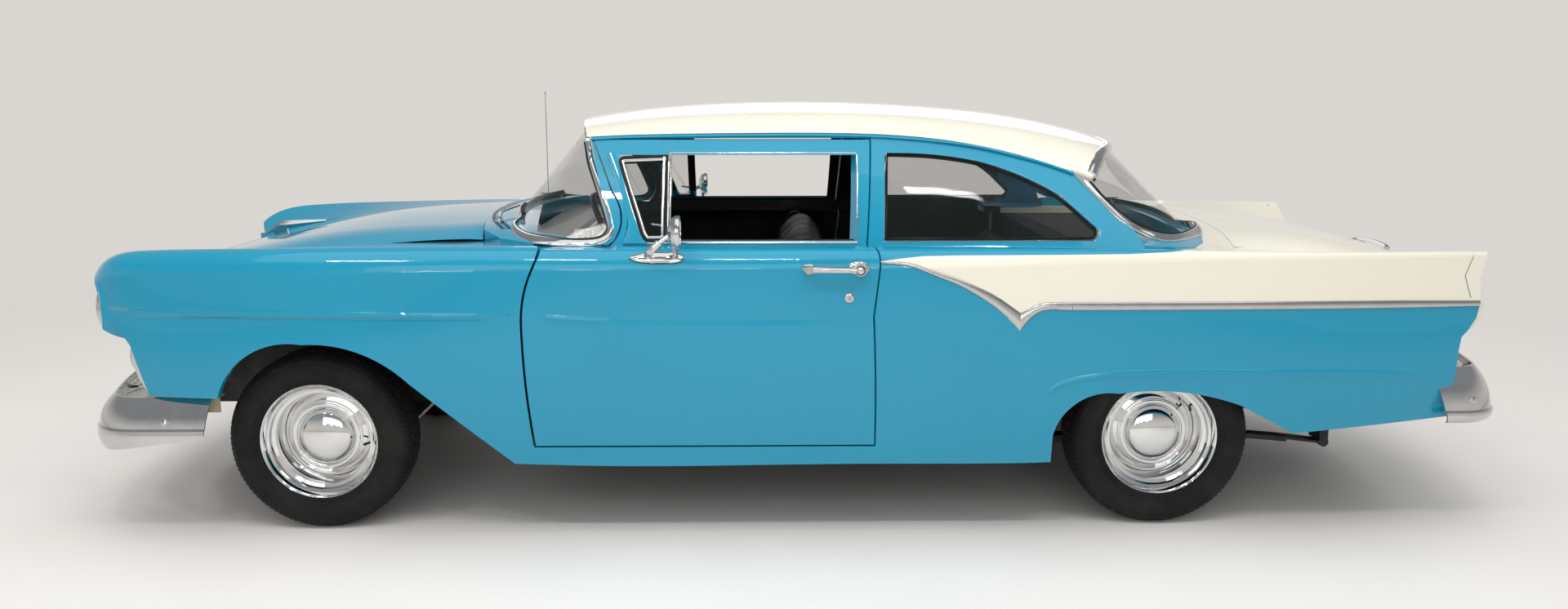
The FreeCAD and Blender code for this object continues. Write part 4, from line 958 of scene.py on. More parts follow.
def slab(outline: Sequence[Vector], thickness: Vector) -> Shape:
    """Return a plate from its outline and the vector through it.

    Args:
        outline: Its corners, in order.
        thickness: The vector from one face to the other.

    Returns:
        The plate.
    """
    count = len(outline)
    shape = Shape(list(outline) + [p + thickness for p in outline])
    shape.faces = [tuple(range(count))[::-1], tuple(range(count, 2 * count))]
    shape.faces += [(i, (i + 1) % count, count + (i + 1) % count, count + i) for i in range(count)]
    return shape


def block(low: Vector, high: Vector) -> Shape:
    """Return a box from its lowest and highest corners, to be bevelled by its piece.

    Args:
        low: Its lowest corner.
        high: Its highest corner.

    Returns:
        The box.
    """
    corners = [Vector((low.x, low.y, low.z)), Vector((high.x, low.y, low.z)), Vector((high.x, high.y, low.z)),
        Vector((low.x, high.y, low.z))]
    return slab(corners, Vector((0, 0, high.z - low.z)))


class Workshop:
    """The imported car, its finishes and the count of the pieces made for it."""

    def __init__(self, car: CarFrame) -> None:
        """Keep the car and its finishes.

        Args:
            car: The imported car.
        """
        self.car = car
        self.finishes = make_finishes(car.axle_x)
        self.count = 0

    def dress(self, node: str, finish: str) -> None:
        """Give a CAD node its finish.

        Args:
            node: The node's name.
            finish: The finish's short name.
        """
        data = self.car.nodes[node].data
        data.materials.clear()
        data.materials.append(self.finishes[finish].material())
        LOG.info("node %s wears %s", node, finish)


@dataclass
class Assembly:
    """A sub-assembly of the car, built in the workshop that holds the car and its finishes."""

    shop: Workshop

    @property
    def car(self) -> CarFrame:
        """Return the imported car."""
        return self.shop.car

    def build(self) -> None:
        """Build its pieces."""
        raise NotImplementedError

    def piece(self, name: str, shape: Shape, look: Look, body: str = "body", bevel: float = 0.0,
            angle: float = 40.0, replaces: Sequence[str] = ()) -> bpy.types.Object:
        """Make one piece.

        Args:
            name: The piece's name.
            shape: Its points and faces, in the row frame.
            look: What it wears.
            body: The CAD body that it rides on.
            bevel: The width of its rounded edges, or 0.
            angle: Edges sharper than this stay crisp, in degrees.
            replaces: The CAD nodes that it stands for.

        Returns:
            The finished object.
        """
        finish, slot = look.value
        mesh = bpy.data.meshes.new(name)
        mesh.from_pydata([tuple(p) for p in shape.points], [], shape.faces)
        tidy = bmesh.new()
        tidy.from_mesh(mesh)
        bmesh.ops.remove_doubles(tidy, verts=tidy.verts, dist=1e-6)
        bmesh.ops.recalc_face_normals(tidy, faces=tidy.faces)
        tidy.to_mesh(mesh)
        tidy.free()
        mesh.shade_smooth()
        mesh.set_sharp_from_angle(angle=math.radians(angle))
        item = bpy.data.objects.new(name, mesh)
        bpy.context.scene.collection.objects.link(item)
        if bevel:
            edge = item.modifiers.new("rounded edges", "BEVEL")
            edge.width, edge.segments, edge.limit_method = bevel, 3, "ANGLE"
            edge.angle_limit = math.radians(30)
            edge.use_clamp_overlap = True
            edge.harden_normals = False
        mesh.materials.append(self.shop.finishes[finish].material())
        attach(item, body)
        if replaces:
            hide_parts(*replaces)
        self.shop.count += 1
        LOG.info("piece %s on %s: %d points", name, body, len(mesh.vertices))
        return item


# ------------------------------------------------------------------ the studio
@dataclass
class Studio:
    """Pale floor, soft daylight, strip lights for the paint's highlights, and the camera."""

    eye: Point = (-1.5556, 5.0768, 1.5530)
    look: Point = (-0.015501, -0.984489, -0.174759)
    up: Point = (-0.003166, -0.174731, 0.984611)
    lens: float = 28.77
    floor_radius: float = 14.0
    fade_from: float = 2.6
    fade_to: float = 7.5
    wall: Colour = (0.70, 0.67, 0.64)
    floor_tone: Colour = (0.90, 0.88, 0.86)
    ceiling: tuple[float, ...] = (0.30, 0.31, 0.33, 1.0)

    def build(self, car: CarFrame) -> None:
        """Make the floor, the lights, the world and the camera.

        Args:
            car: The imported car, which gives the axle's place.
        """
        view = bpy.context.scene.view_settings
        view.view_transform, view.look = "Standard", "None"
        self._camera(car)
        self._floor()
        self._world()
        self._lights(car)

    def _camera(self, car: CarFrame) -> None:
        """Place the camera at the side of the front door.

        Args:
            car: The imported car.
        """
        data = bpy.data.cameras.new("side camera")
        data.lens, data.sensor_width, data.clip_end = self.lens, 36.0, 200.0
        camera = bpy.data.objects.new("side camera", data)
        look, up = Vector(self.look), Vector(self.up)
        right = look.cross(up).normalized()
        up = right.cross(look).normalized()
        turn = Matrix((right, up, -look)).transposed()
        camera.matrix_world = Matrix.Translation(car.at(*self.eye)) @ turn.to_4x4()
        bpy.context.scene.collection.objects.link(camera)
        bpy.context.scene.camera = camera

    def _floor(self) -> None:
        """Lay a round painted floor whose colour fades into the wall's."""
        tidy = bmesh.new()
        bmesh.ops.create_circle(tidy, cap_ends=True, segments=96, radius=self.floor_radius)
        mesh = bpy.data.meshes.new("studio_floor")
        tidy.to_mesh(mesh)
        tidy.free()
        floor = bpy.data.objects.new("studio_floor", mesh)
        bpy.context.scene.collection.objects.link(floor)
        sheet = NodeSheet("painted floor")
        x, y = sheet.axis("X"), sheet.axis("Y")
        reach = sheet.sum("SQRT", sheet.sum("ADD", sheet.sum("MULTIPLY", x, x), sheet.sum("MULTIPLY", y, y)))
        patch = sheet.span(sheet.noise(0.7, 5.0), 0.3, 0.7)
        near = sheet.blend(patch, self.floor_tone, shade(self.floor_tone, 1.04))
        sheet.colour(sheet.blend(sheet.span(reach, 5.0, self.floor_radius), near, self.wall))
        sheet.rough(sheet.span(sheet.noise(3.0, 4.0), 0.3, 0.7, 0.55, 0.7))
        sheet.bump(sheet.noise(60.0, 4.0), 0.05, 0.001)
        glow = sheet.add("ShaderNodeEmission")
        glow.inputs["Color"].default_value = (*self.wall, 1.0)
        seen = sheet.add("ShaderNodeLightPath").outputs["Is Camera Ray"]
        far = sheet.sum("MULTIPLY", sheet.span(reach, self.fade_from, self.fade_to), seen)
        mix = sheet.add("ShaderNodeMixShader")
        out = next(n for n in sheet.material.node_tree.nodes if n.type == "OUTPUT_MATERIAL")
        sheet.join(far, mix.inputs[0])
        sheet.join(sheet.shader.outputs[0], mix.inputs[1])
        sheet.join(glow.outputs[0], mix.inputs[2])
        sheet.join(mix.outputs[0], out.inputs["Surface"])
        mesh.materials.append(sheet.material)

    def _world(self) -> None:
        """Fill the room with even light, and show a pale wall to the camera and to reflections."""
        world = bpy.data.worlds.new("studio")
        bpy.context.scene.world = world
        world.use_nodes = True
        tree, join = world.node_tree, world.node_tree.links.new
        tree.nodes.clear()
        out = tree.nodes.new("ShaderNodeOutputWorld")
        soft, seen = (tree.nodes.new("ShaderNodeBackground") for _ in range(2))
        place = tree.nodes.new("ShaderNodeTexCoord")
        height = tree.nodes.new("ShaderNodeSeparateXYZ")
        join(place.outputs["Generated"], height.inputs["Vector"])
        fade = tree.nodes.new("ShaderNodeMapRange")
        for key, value in (("From Min", 0.0), ("From Max", 0.8), ("To Min", 0.30), ("To Max", 0.80)):
            fade.inputs[key].default_value = value
        join(height.outputs["Z"], fade.inputs["Value"])
        soft.inputs["Color"].default_value = (1.0, 0.99, 0.97, 1.0)
        join(fade.outputs["Result"], soft.inputs["Strength"])
        ceiling = tree.nodes.new("ShaderNodeValToRGB")
        ceiling.color_ramp.elements[0].position, ceiling.color_ramp.elements[0].color = 0.10, (*self.wall,
            1.0)
        ceiling.color_ramp.elements[1].position, ceiling.color_ramp.elements[1].color = 0.45, self.ceiling
        join(height.outputs["Z"], ceiling.inputs["Fac"])
        join(ceiling.outputs["Color"], seen.inputs["Color"])
        seen.inputs["Strength"].default_value = 1.0
        path = tree.nodes.new("ShaderNodeLightPath")
        either, both = (tree.nodes.new("ShaderNodeMath") for _ in range(2))
        either.operation = both.operation = "MAXIMUM"
        join(path.outputs["Is Camera Ray"], either.inputs[0])
        join(path.outputs["Is Glossy Ray"], either.inputs[1])
        join(either.outputs[0], both.inputs[0])
        join(path.outputs["Is Transmission Ray"], both.inputs[1])
        mix = tree.nodes.new("ShaderNodeMixShader")
        join(both.outputs[0], mix.inputs[0])
        join(soft.outputs[0], mix.inputs[1])
        join(seen.outputs[0], mix.inputs[2])
        join(mix.outputs[0], out.inputs["Surface"])

    def _lights(self, car: CarFrame) -> None:
        """Hang two soft boxes and rows of strip lights.

        Args:
            car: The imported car.
        """
        middle = car.at(-1.66, 0, 0.6)
        lamps = [("soft box over the car", car.at(-1.6, 1.2, 4.6), (7.0, 3.4), 76.0),
            ("soft box beside the car", car.at(-1.0, 6.6, 3.0), (6.0, 2.4), 60.0),
            ("soft box beyond the car", car.at(-2.2, -6.0, 3.2), (6.0, 2.4), 40.0)]
        for i, x in enumerate((-2.85, -1.47, -0.10, 1.26)):
            lamps.append(("strip light %d" % i, car.at(x, 3.0, 4.2), (0.6, 0.10), 12.0))
            lamps.append(("low strip light %d" % i, car.at(x + 0.2, 6.6, 1.65), (0.55, 0.06), 3.0))
        for name, place, size, power in lamps:
            data = bpy.data.lights.new(name, "AREA")
            data.shape, data.size, data.size_y, data.energy = "RECTANGLE", size[0], size[1], power
            data.color = (1.0, 0.985, 0.96)
            lamp = bpy.data.objects.new(name, data)
            lamp.location = place
            lamp.visible_camera = False
            lamp.rotation_euler = (middle - place).to_track_quat("-Z", "Y").to_euler()
            bpy.context.scene.collection.objects.link(lamp)


# ------------------------------------------------------------------ painted and plain nodes
@dataclass
class BodyShell(Assembly):
    """The CAD nodes that keep their own shape, with the finish that each one wears."""

    finishes: dict[str, tuple[str, ...]] = field(default_factory=lambda: {
        "blue": ("fender_left", "fender_right", "headlamp_bezels", "hood", "cowl", "rear_panel",
                 "front_panel"),
        "blue_lined": ("door_left", "door_right"),
        "side": ("body_side_left", "body_side_right"),
        "cream": ("trunk_lid",),
        "deck": ("deck_panel",),
        "cream_lined": ("roof",),
        "pan": ("splash_pan",),
        "chrome": ("grille", "front_bumper", "rear_bumper", "hood_ornament", "aerial",
                   "door_fittings_left", "door_fittings_right", "vent_window_left", "vent_window_right"),
        "glass": ("windshield", "rear_window", "quarter_windows"),
        "lamp": ("headlamps",),
        "red": ("tail_lamps",),
        "carpet": ("floor_pan", "trunk_floor"),
        "chassis": ("firewall", "wheelhouses", "frame", "radiator", "rear_axle", "suspension_arms",
                    "fuel_tank"),
        "dash": ("dash",),
        "plastic": ("steering_wheel",),
        "vinyl": ("front_bench", "rear_bench"),
        "iron": ("engine_block", "knuckle_left", "knuckle_right"),
        "steel": ("propeller_shaft", "track_rod", "pitman_arm", "idler_arm", "exhaust"),
        "tyre": ("tyre_front_left", "tyre_front_right", "tyre_rear_left", "tyre_rear_right"),
        "wheel_chrome": ("wheel_front_left", "wheel_front_right", "wheel_rear_left", "wheel_rear_right"),
    })

    def build(self) -> None:
        """Dress every node."""
        for finish, nodes in self.finishes.items():
            for node in nodes:
                self.shop.dress(node, finish)


# ------------------------------------------------------------------ shared trim shapes
def ribbon(lows: Sequence[Vector], highs: Sequence[Vector], outs: Sequence[Vector], height: float,
        sink: float = 0.003, power: float = 0.6, closed: bool = False) -> Shape:
    """Return an arched strip between two lines on a surface.

    Args:
        lows: The strip's one edge.
        highs: Its other edge, point for point.
        outs: The surface's outward directions.
        height: How far the strip's middle stands out.
        sink: How far its edges go into the surface.
        power: Below 1 for a flat top, above 1 for a ridge.
        closed: Whether the strip ends where it starts.

    Returns:
        The strip.
    """
    count, rows = 8, []
    for low, high, out in zip(lows, highs, outs):
        top = [low.lerp(high, i / count) + out * (height * math.sin(math.pi * i / count) ** power)
            for i in range(count + 1)]
        rows.append([low - out * sink] + top + [high - out * sink])
    return grid(rows, closed_rows=True, closed_run=closed, caps=not closed)


def rounded_loop(points: Sequence[Flat], reaches: Sequence[float], steps: int = 6) -> list[Flat]:
    """Return a closed outline whose corners are rounded, each by its own reach.

    Args:
        points: The outline's points, in order.
        reaches: How far each corner is rounded.
        steps: Parts of each arc.

    Returns:
        The rounded outline.
    """
    out: list[Flat] = []
    count = len(points)
    for i in range(count):
        a, b, c = (Vector(points[k % count]) for k in (i - 1, i, i + 1))
        before, after = a - b, c - b
        reach = min(reaches[i], before.length * 0.48, after.length * 0.48)
        p, q = b + before.normalized() * reach, b + after.normalized() * reach
        for k in range(steps + 1):
            t = k / steps
            r = p * (1 - t) ** 2 + b * 2 * t * (1 - t) + q * t * t
            out.append((r.x, r.y))
    return out


def spaced(points: Sequence[Flat], gap: float, closed: bool = True) -> list[Flat]:
    """Return an outline with points added so that none are further apart than a gap.

    Args:
        points: The outline's points, in order.
        gap: The longest step.
        closed: Whether the last point joins the first.

    Returns:
        The outline with its added points.
    """
    out: list[Flat] = []
    pairs = list(zip(points, list(points[1:]) + ([points[0]] if closed else [])))
    for a, b in pairs:
        parts = max(1, math.ceil(math.dist(a, b) / gap))
        out += [(a[0] + (b[0] - a[0]) * k / parts, a[1] + (b[1] - a[1]) * k / parts) for k in range(parts)]
    if not closed:
        out.append(tuple(points[-1]))
    return out


def pushed(points: Sequence[Flat], by: float) -> list[Flat]:
    """Return a closed outline pushed outwards by a distance.

    Args:
        points: The outline's points, in order.
        by: The distance, or less than 0 for inwards.

    Returns:
        The outline, point for point.
    """
    count = len(points)
    area = sum(points[i][0] * points[(i + 1) % count][1] - points[(i + 1) % count][0] * points[i][1]
        for i in range(count))
    turn = 1.0 if area > 0 else -1.0
    out = []
    for i, (x, y) in enumerate(points):
        k = 1
        while math.dist(points[(i + k) % count], points[(i - k) % count]) < 1e-4:
            k += 1
        way = (Vector(points[(i + k) % count]) - Vector(points[(i - k) % count])).normalized()
        out.append((x + way.y * by * turn, y - way.x * by * turn))
    return out


def bolt_shape(place: Vector, out: Vector, radius: float, height: float) -> Shape:
    """Return a round-headed bolt with its washer.

    Args:
        place: Where it sits.
        out: The way outwards.
        radius: Its radius.
        height: Its height.

    Returns:
        The bolt and its washer.
    """
    dome = [(radius * math.cos(t * math.pi / 12), height * (0.35 + 0.65 * math.sin(t * math.pi / 12)))
        for t in range(7)]
    profile = [(radius * 1.35, -0.002), (radius * 1.35, height * 0.2), (radius, height * 0.25)] + dome
    profile[-1] = (TIP, profile[-1][1])
    return turned(profile, place, out, 24)


def hex_shape(place: Vector, out: Vector, across: float, height: float) -> Shape:
    """Return a six-sided bolt head with a chamfered top and a washer.

    Args:
        place: Where it sits.
        out: The way outwards.
        across: Its size over the corners.
        height: Its height.

    Returns:
        The head and its washer.
    """
    head = turned([(across / 2, 0), (across / 2, height * 0.8), (across * 0.42, height), (TIP, height)],
        place, out, 6)
    washer = turned([(across * 0.75, -0.001), (across * 0.75, height * 0.15), (TIP, height * 0.15)], place,
        out, 24)
    return head.add(washer)


# ------------------------------------------------------------------ bright trim
@dataclass
class SideSpear(Assembly):
    """The bright spear on each side: a dip behind the door, then a long straight strip."""

    edges: tuple[Point, ...] = SPEAR_EDGES
    tip: float = -2.412
    joint: float = -2.584
    height: float = 0.0075

    def build(self) -> None:
        """Make the two strips of each side."""
        for hand, sign in SIDES:
            stations = self._stations()
            for name, part in (("front", [p for p in stations if p[0] >= self.joint]),
                    ("rear", [p for p in stations if p[0] < self.joint])):
                self.piece("side_spear_%s_%s" % (name, hand), self._strip(part, sign, hand), Look.SPEAR,
                    angle=50)

    def _stations(self) -> list[Point]:
        """Return close stations: smooth up to the tip, and smooth again after it.

        Returns:
            The stations, from front to rear.
        """
        dip = next(i for i, p in enumerate(self.edges) if p[0] <= self.tip)
        before = smooth_run([Vector(p) for p in self.edges[:dip + 1]], 8)
        after = smooth_run([Vector(p) for p in self.edges[dip:]], 8)
        ends = [(self.joint, 0.829, 0.799), (self.joint - 0.0015, 0.829, 0.799)]
        return sorted([tuple(p) for p in before + after[1:]] + ends, key=lambda p: -p[0])

    def _strip(self, part: Sequence[Point], sign: float, hand: str) -> Shape:
        """Return one strip along its stations.

        Args:
            part: Place along the car and both heights, station by station.
            sign: 1 on the left side, -1 on the right.
            hand: Left or right.

        Returns:
            The strip.
        """
        lows, highs, outs = [], [], []
        for x, high, low in part:
            a, first = self.car.side(x, low, sign, "body_side_" + hand)
            b, second = self.car.side(x, high, sign, "body_side_" + hand)
            lows.append(a)
            highs.append(b)
            outs.append((first + second).normalized())
        return ribbon(lows, highs, outs, self.height, power=0.7)


@dataclass
class Surrounds(Assembly):
    """The bright frames round the windscreen and the rear window, with their rubber."""

    screen_outer: tuple[Point, ...] = ((-0.944, 0.633, 1.350), (-0.951, 0.646, 1.318), (-0.962, 0.663, 1.274),
        (-1.009, 0.760, 1.168), (-1.037, 0.804, 1.088), (-1.041, 0.824, 1.048), (-1.017, 0.838, 1.017),
        (-0.970, 0.839, 1.004), (-0.901, 0.838, 1.004), (-0.788, 0.826, 1.013), (-0.724, 0.777, 1.022),
        (-0.676, 0.701, 1.036), (-0.652, 0.609, 1.048))
    screen_inner: tuple[Point, ...] = ((-0.927, 0.626, 1.347), (-0.934, 0.641, 1.315), (-0.944, 0.660, 1.268),
        (-0.983, 0.734, 1.166), (-1.012, 0.785, 1.086), (-1.017, 0.804, 1.055), (-0.998, 0.815, 1.034),
        (-0.954, 0.817, 1.026), (-0.869, 0.811, 1.026), (-0.776, 0.755, 1.032), (-0.719, 0.707, 1.039),
        (-0.681, 0.639, 1.050), (-0.661, 0.569, 1.060))
    rear_outer: tuple[Point, ...] = ((-2.659, 0.702, 1.211), (-2.717, 0.744, 1.149), (-2.778, 0.791, 1.083),
        (-2.846, 0.806, 1.039), (-2.916, 0.814, 1.015), (-2.997, 0.782, 1.011), (-3.091, 0.675, 1.011),
        (-3.137, 0.591, 1.018))
    rear_inner: tuple[Point, ...] = ((-2.693, 0.704, 1.211), (-2.737, 0.743, 1.155), (-2.804, 0.777, 1.093),
        (-2.864, 0.790, 1.057), (-2.938, 0.785, 1.037), (-3.011, 0.737, 1.032), (-3.111, 0.587, 1.036),
        (-3.140, 0.508, 1.044))
    height: float = 0.006

    def build(self) -> None:
        """Make both frames and their rubber lines."""
        self._frame("windscreen", self.screen_outer, self.screen_inner, "windshield", "cowl", 1.0)
        self._frame("rear_window", self.rear_outer, self.rear_inner, "rear_window", "deck_panel", -1.0)
        self._roof_edge()
        self._header()

    def _frame(self, name: str, outer: Sequence[Point], inner: Sequence[Point], glass: str, panel: str,
            way: float) -> None:
        """Make one frame: down the left pillar, along the foot and up the right pillar.

        Args:
            name: The window's name.
            outer: The left half's outer edge, from the roof to the foot.
            inner: The same run's inner edge.
            glass: The window's node.
            panel: The node at its foot.
            way: 1 where the window looks forward, -1 where it looks back.
        """
        car = self.car
        lows = [car.at(*p) for p in outer]
        highs = [car.at(*p) for p in inner]
        half = abs(outer[-1][1]) - 0.06
        for i in range(1, 8):
            y = half * (1 - i / 7)
            base, front = self._foot(y, glass, panel, way)
            lows.append(base)
            highs.append(front)
        lows, highs = smooth_run(lows, 5), smooth_run(highs, 5)
        lows += [Vector((p.x, -p.y, p.z)) for p in lows[-2::-1]]
        highs += [Vector((p.x, -p.y, p.z)) for p in highs[-2::-1]]
        middle = car.at(outer[0][0] - way * 0.45, 0, 0.9)
        outs, seams = [], []
        for i, (low, high) in enumerate(zip(lows, highs)):
            along = lows[min(i + 1, len(lows) - 1)] - lows[max(i - 1, 0)]
            out = along.cross(high - low).normalized()
            if out.dot(low - middle) < 0:
                out = -out
            outs.append(out)
            seams.append(high + (high - low).normalized() * 0.007)
        self.piece(name + "_frame", ribbon(lows, highs, outs, self.height, power=0.5), Look.CHROME, angle=60)
        self.piece(name + "_rubber", ribbon(highs, seams, outs, 0.0015), Look.SEAL)

    def _foot(self, y: float, glass: str, panel: str, way: float) -> tuple[Vector, Vector]:
        """Return where the frame's two edges lie at y along the window's foot.

        Args:
            y: The place across the car.
            glass: The window's node.
            panel: The node below it.
            way: 1 where the window looks forward, -1 where it looks back.

        Returns:
            The outer and the inner edge.
        """
        level = 1.06
        for _ in range(3):
            face, _ = self.car.touch(self.car.at(-1.66 + way * 3.0, y, level), Vector((-way, 0, 0)), glass)
            base, _ = self.car.touch(Vector((face.x + way * 0.016, y, 1.6)), DOWN, panel)
            level = base.z + 0.012
        face, _ = self.car.touch(self.car.at(-1.66 + way * 3.0, y, base.z + 0.015), Vector((-way, 0, 0)),
            glass)
        return base, face

    def _roof_line(self, half: float, start: float, step: float, inset: float) -> list[Vector]:
        """Return points on the roof near its front or rear edge.

        Args:
            half: Half the line's width across the car.
            start: A place under the roof, along the car.
            step: The step from there towards the edge.
            inset: The way back from the edge.

        Returns:
            The roof's top from right to left.
        """
        line = []
        for i in range(-24, 25):
            x, y = start, half * math.sin(i / 24 * math.pi / 2)
            while self.car.tree("roof").ray_cast(self.car.at(x, y, ABOVE), DOWN)[0] is not None:
                x += step
            line.append(self.car.top(x + inset, y, "roof")[0])
        return line

    def _roof_edge(self) -> None:
        """Make the broad bright strip along the roof's rear edge."""
        highs = self._roof_line(0.668, -2.5, -0.004, 0.026)
        lows = [p + Vector((-0.027, 0, -0.034)) for p in highs]
        outs = [Vector((-0.75, p.y * 0.5, 0.66)).normalized() for p in lows]
        lows = [p + out * 0.004 for p, out in zip(lows, outs)]
        self.piece("roof_rear_strip", ribbon(lows, highs, outs, 0.014, sink=0.008, power=0.4), Look.CHROME,
            angle=60)

    def _header(self) -> None:
        """Make the thin strip under the roof's front edge, down to the pillar frames."""
        line = self._roof_line(0.628, -1.2, 0.004, -0.006)
        lows = [p + Vector((0.004, 0, -0.018)) for p in line]
        highs = [p + Vector((0.007, 0, -0.006)) for p in line]
        outs = [Vector((0.95, p.y * 0.4, 0.1)).normalized() for p in lows]
        self.piece("windscreen_header_strip", ribbon(lows, highs, outs, 0.003, sink=0.008), Look.CHROME,
            angle=60)


@dataclass
class WindowFrames(Assembly):
    """Bright frames round the rear quarter panes and the door openings."""

    pane: tuple[Flat, ...] = ((-1.976, 1.310), (-1.963, 1.018), (-2.685, 1.018), (-2.706, 1.050),
        (-2.579, 1.167), (-2.440, 1.236), (-2.308, 1.280), (-2.140, 1.305))
    reaches: tuple[float, ...] = (0.02, 0.014, 0.014, 0.02, 0.06, 0.07, 0.08, 0.08)
    vent_edge: tuple[Flat, ...] = ((-1.012, 1.312), (-1.062, 1.182), (-1.090, 1.084), (-1.076, 1.014))
    vent_inner: tuple[Flat, ...] = ((-1.052, 1.312), (-1.082, 1.204), (-1.124, 1.080), (-1.160, 1.014))
    vent: tuple[Flat, ...] = ((-1.044, 1.300), (-1.073, 1.210), (-1.105, 1.122), (-1.122, 1.075),
        (-1.134, 1.040), (-1.150, 1.018), (-1.224, 1.018), (-1.224, 1.306))

    def build(self) -> None:
        """Make the frames of both sides."""
        for hand, sign in SIDES:
            self._quarter(hand, sign)
            self._vent(hand, sign)
            self._door(hand, sign)

    def _quarter(self, hand: str, sign: float) -> None:
        """Frame one rear quarter pane.

        Args:
            hand: Left or right.
            sign: 1 on the left side, -1 on the right.
        """
        loop = spaced(rounded_loop(self.pane, self.reaches), 0.03)
        rings = []
        for by, node in ((0.007, "body_side_" + hand), (-0.006, "quarter_windows"),
                (-0.012, "quarter_windows")):
            rings.append([self.car.side(x, z, sign, node)[0] for x, z in pushed(loop, by)])
        outs = [self.car.side(x, z, sign, "quarter_windows")[1] for x, z in pushed(loop, -0.006)]
        self.piece("quarter_frame_" + hand, ribbon(rings[0], rings[1], outs, 0.003, power=0.5, closed=True),
            Look.CHROME, angle=60)
        self.piece("quarter_rubber_" + hand, ribbon(rings[1], rings[2], outs, 0.002, closed=True), Look.SEAL)

    def _vent(self, hand: str, sign: float) -> None:
        """Make one hinged vent window: its frame, glass, division bar and latch.

        Args:
            hand: Left or right.
            sign: 1 on the left side, -1 on the right.
        """
        node, body = "vent_window_" + hand, "door_" + hand
        loop = spaced(rounded_loop(self.vent, (0.03, 0.05, 0.05, 0.05, 0.05, 0.022, 0.008, 0.008)), 0.02)
        out = Vector((0, sign * 0.884, 0.467))
        rings = [[self._lean(x, z, sign) for x, z in pushed(loop, by)] for by in (0.0, -0.010, -0.021)]
        outs = [out] * len(loop)
        self.piece("vent_rubber_" + hand, ribbon(rings[0], rings[1], outs, 0.002, sink=0.014, closed=True),
            Look.SEAL, body)
        self.piece("vent_frame_" + hand, ribbon(rings[1], rings[2], outs, 0.004, sink=0.014, power=0.5,
            closed=True), Look.CHROME, body, angle=60)
        pane = [p - out * 0.006 for p in rings[2]]
        self.piece("vent_glass_" + hand, slab(pane, out * -0.005), Look.GLASS, body, replaces=[node])
        near = smooth_run([self._lean(x, z, sign) for x, z in self.vent_edge], 6)
        far = smooth_run([self._lean(x, z, sign) for x, z in self.vent_inner], 6)
        self.piece("vent_pillar_" + hand, ribbon(near, far, [out] * len(near), 0.0012, sink=0.014), Look.BLUE,
            body, angle=60)
        run = [self._lean(-1.230, 1.016 + 0.296 * i / 8, sign) for i in range(9)]
        section = mm((-7, -16), (-7, 2), (-4, 5), (4, 5), (7, 2), (7, -16))
        self.piece("vent_division_bar_" + hand, swept(run, [out] * 9, section), Look.CHROME, body,
            bevel=0.001)
        knob = self.car.at(-1.205, sign * 0.812, 1.070)
        latch = tube([knob, knob + Vector((0, -sign * 0.014, 0))], 0.006, 16)
        latch.add(tube([knob + Vector((0, -sign * 0.012, 0)), knob + Vector((0.036, -sign * 0.014, 0.004))],
            0.0045, 12))
        self.piece("vent_latch_" + hand, latch, Look.CHROME, body, bevel=0.001)

    def _lean(self, x: float, z: float, sign: float) -> Vector:
        """Return a point of the vent window's leaning plane."""
        return self.car.at(x, sign * (0.845 - 0.5286 * (z - 1.023)), z)

    def _door(self, hand: str, sign: float) -> None:
        """Edge the door's opening and lay the strip and the wiper felt along its foot.

        Args:
            hand: Left or right.
            sign: 1 on the left side, -1 on the right.
        """
        node = "door_" + hand
        edge = spaced(mm((-1232, 1311), (-1872, 1311), (-1878.5, 1302), (-1873.5, 1020)), 0.04, False)
        run, outs = zip(*[self.car.side(x, z, sign, node) for x, z in edge])
        self.piece("door_opening_bead_" + hand, swept(run, outs, bead_section(0.006, 0.0025)), Look.CHROME,
            node)
        foot = spaced(mm((-1110, 1015.5), (-1872, 1015.5)), 0.04, False)
        run, outs = zip(*[self.car.side(x, z, sign, node) for x, z in foot])
        self.piece("door_foot_strip_" + hand, swept(run, outs, bead_section(0.011, 0.005)), Look.CHROME, node)
        felt = [p + Vector((0, -sign * 0.018, 0.006)) for p in run]
        self.piece("door_foot_felt_" + hand, swept(felt, outs, bead_section(0.008, 0.004)), Look.SEAL, node)


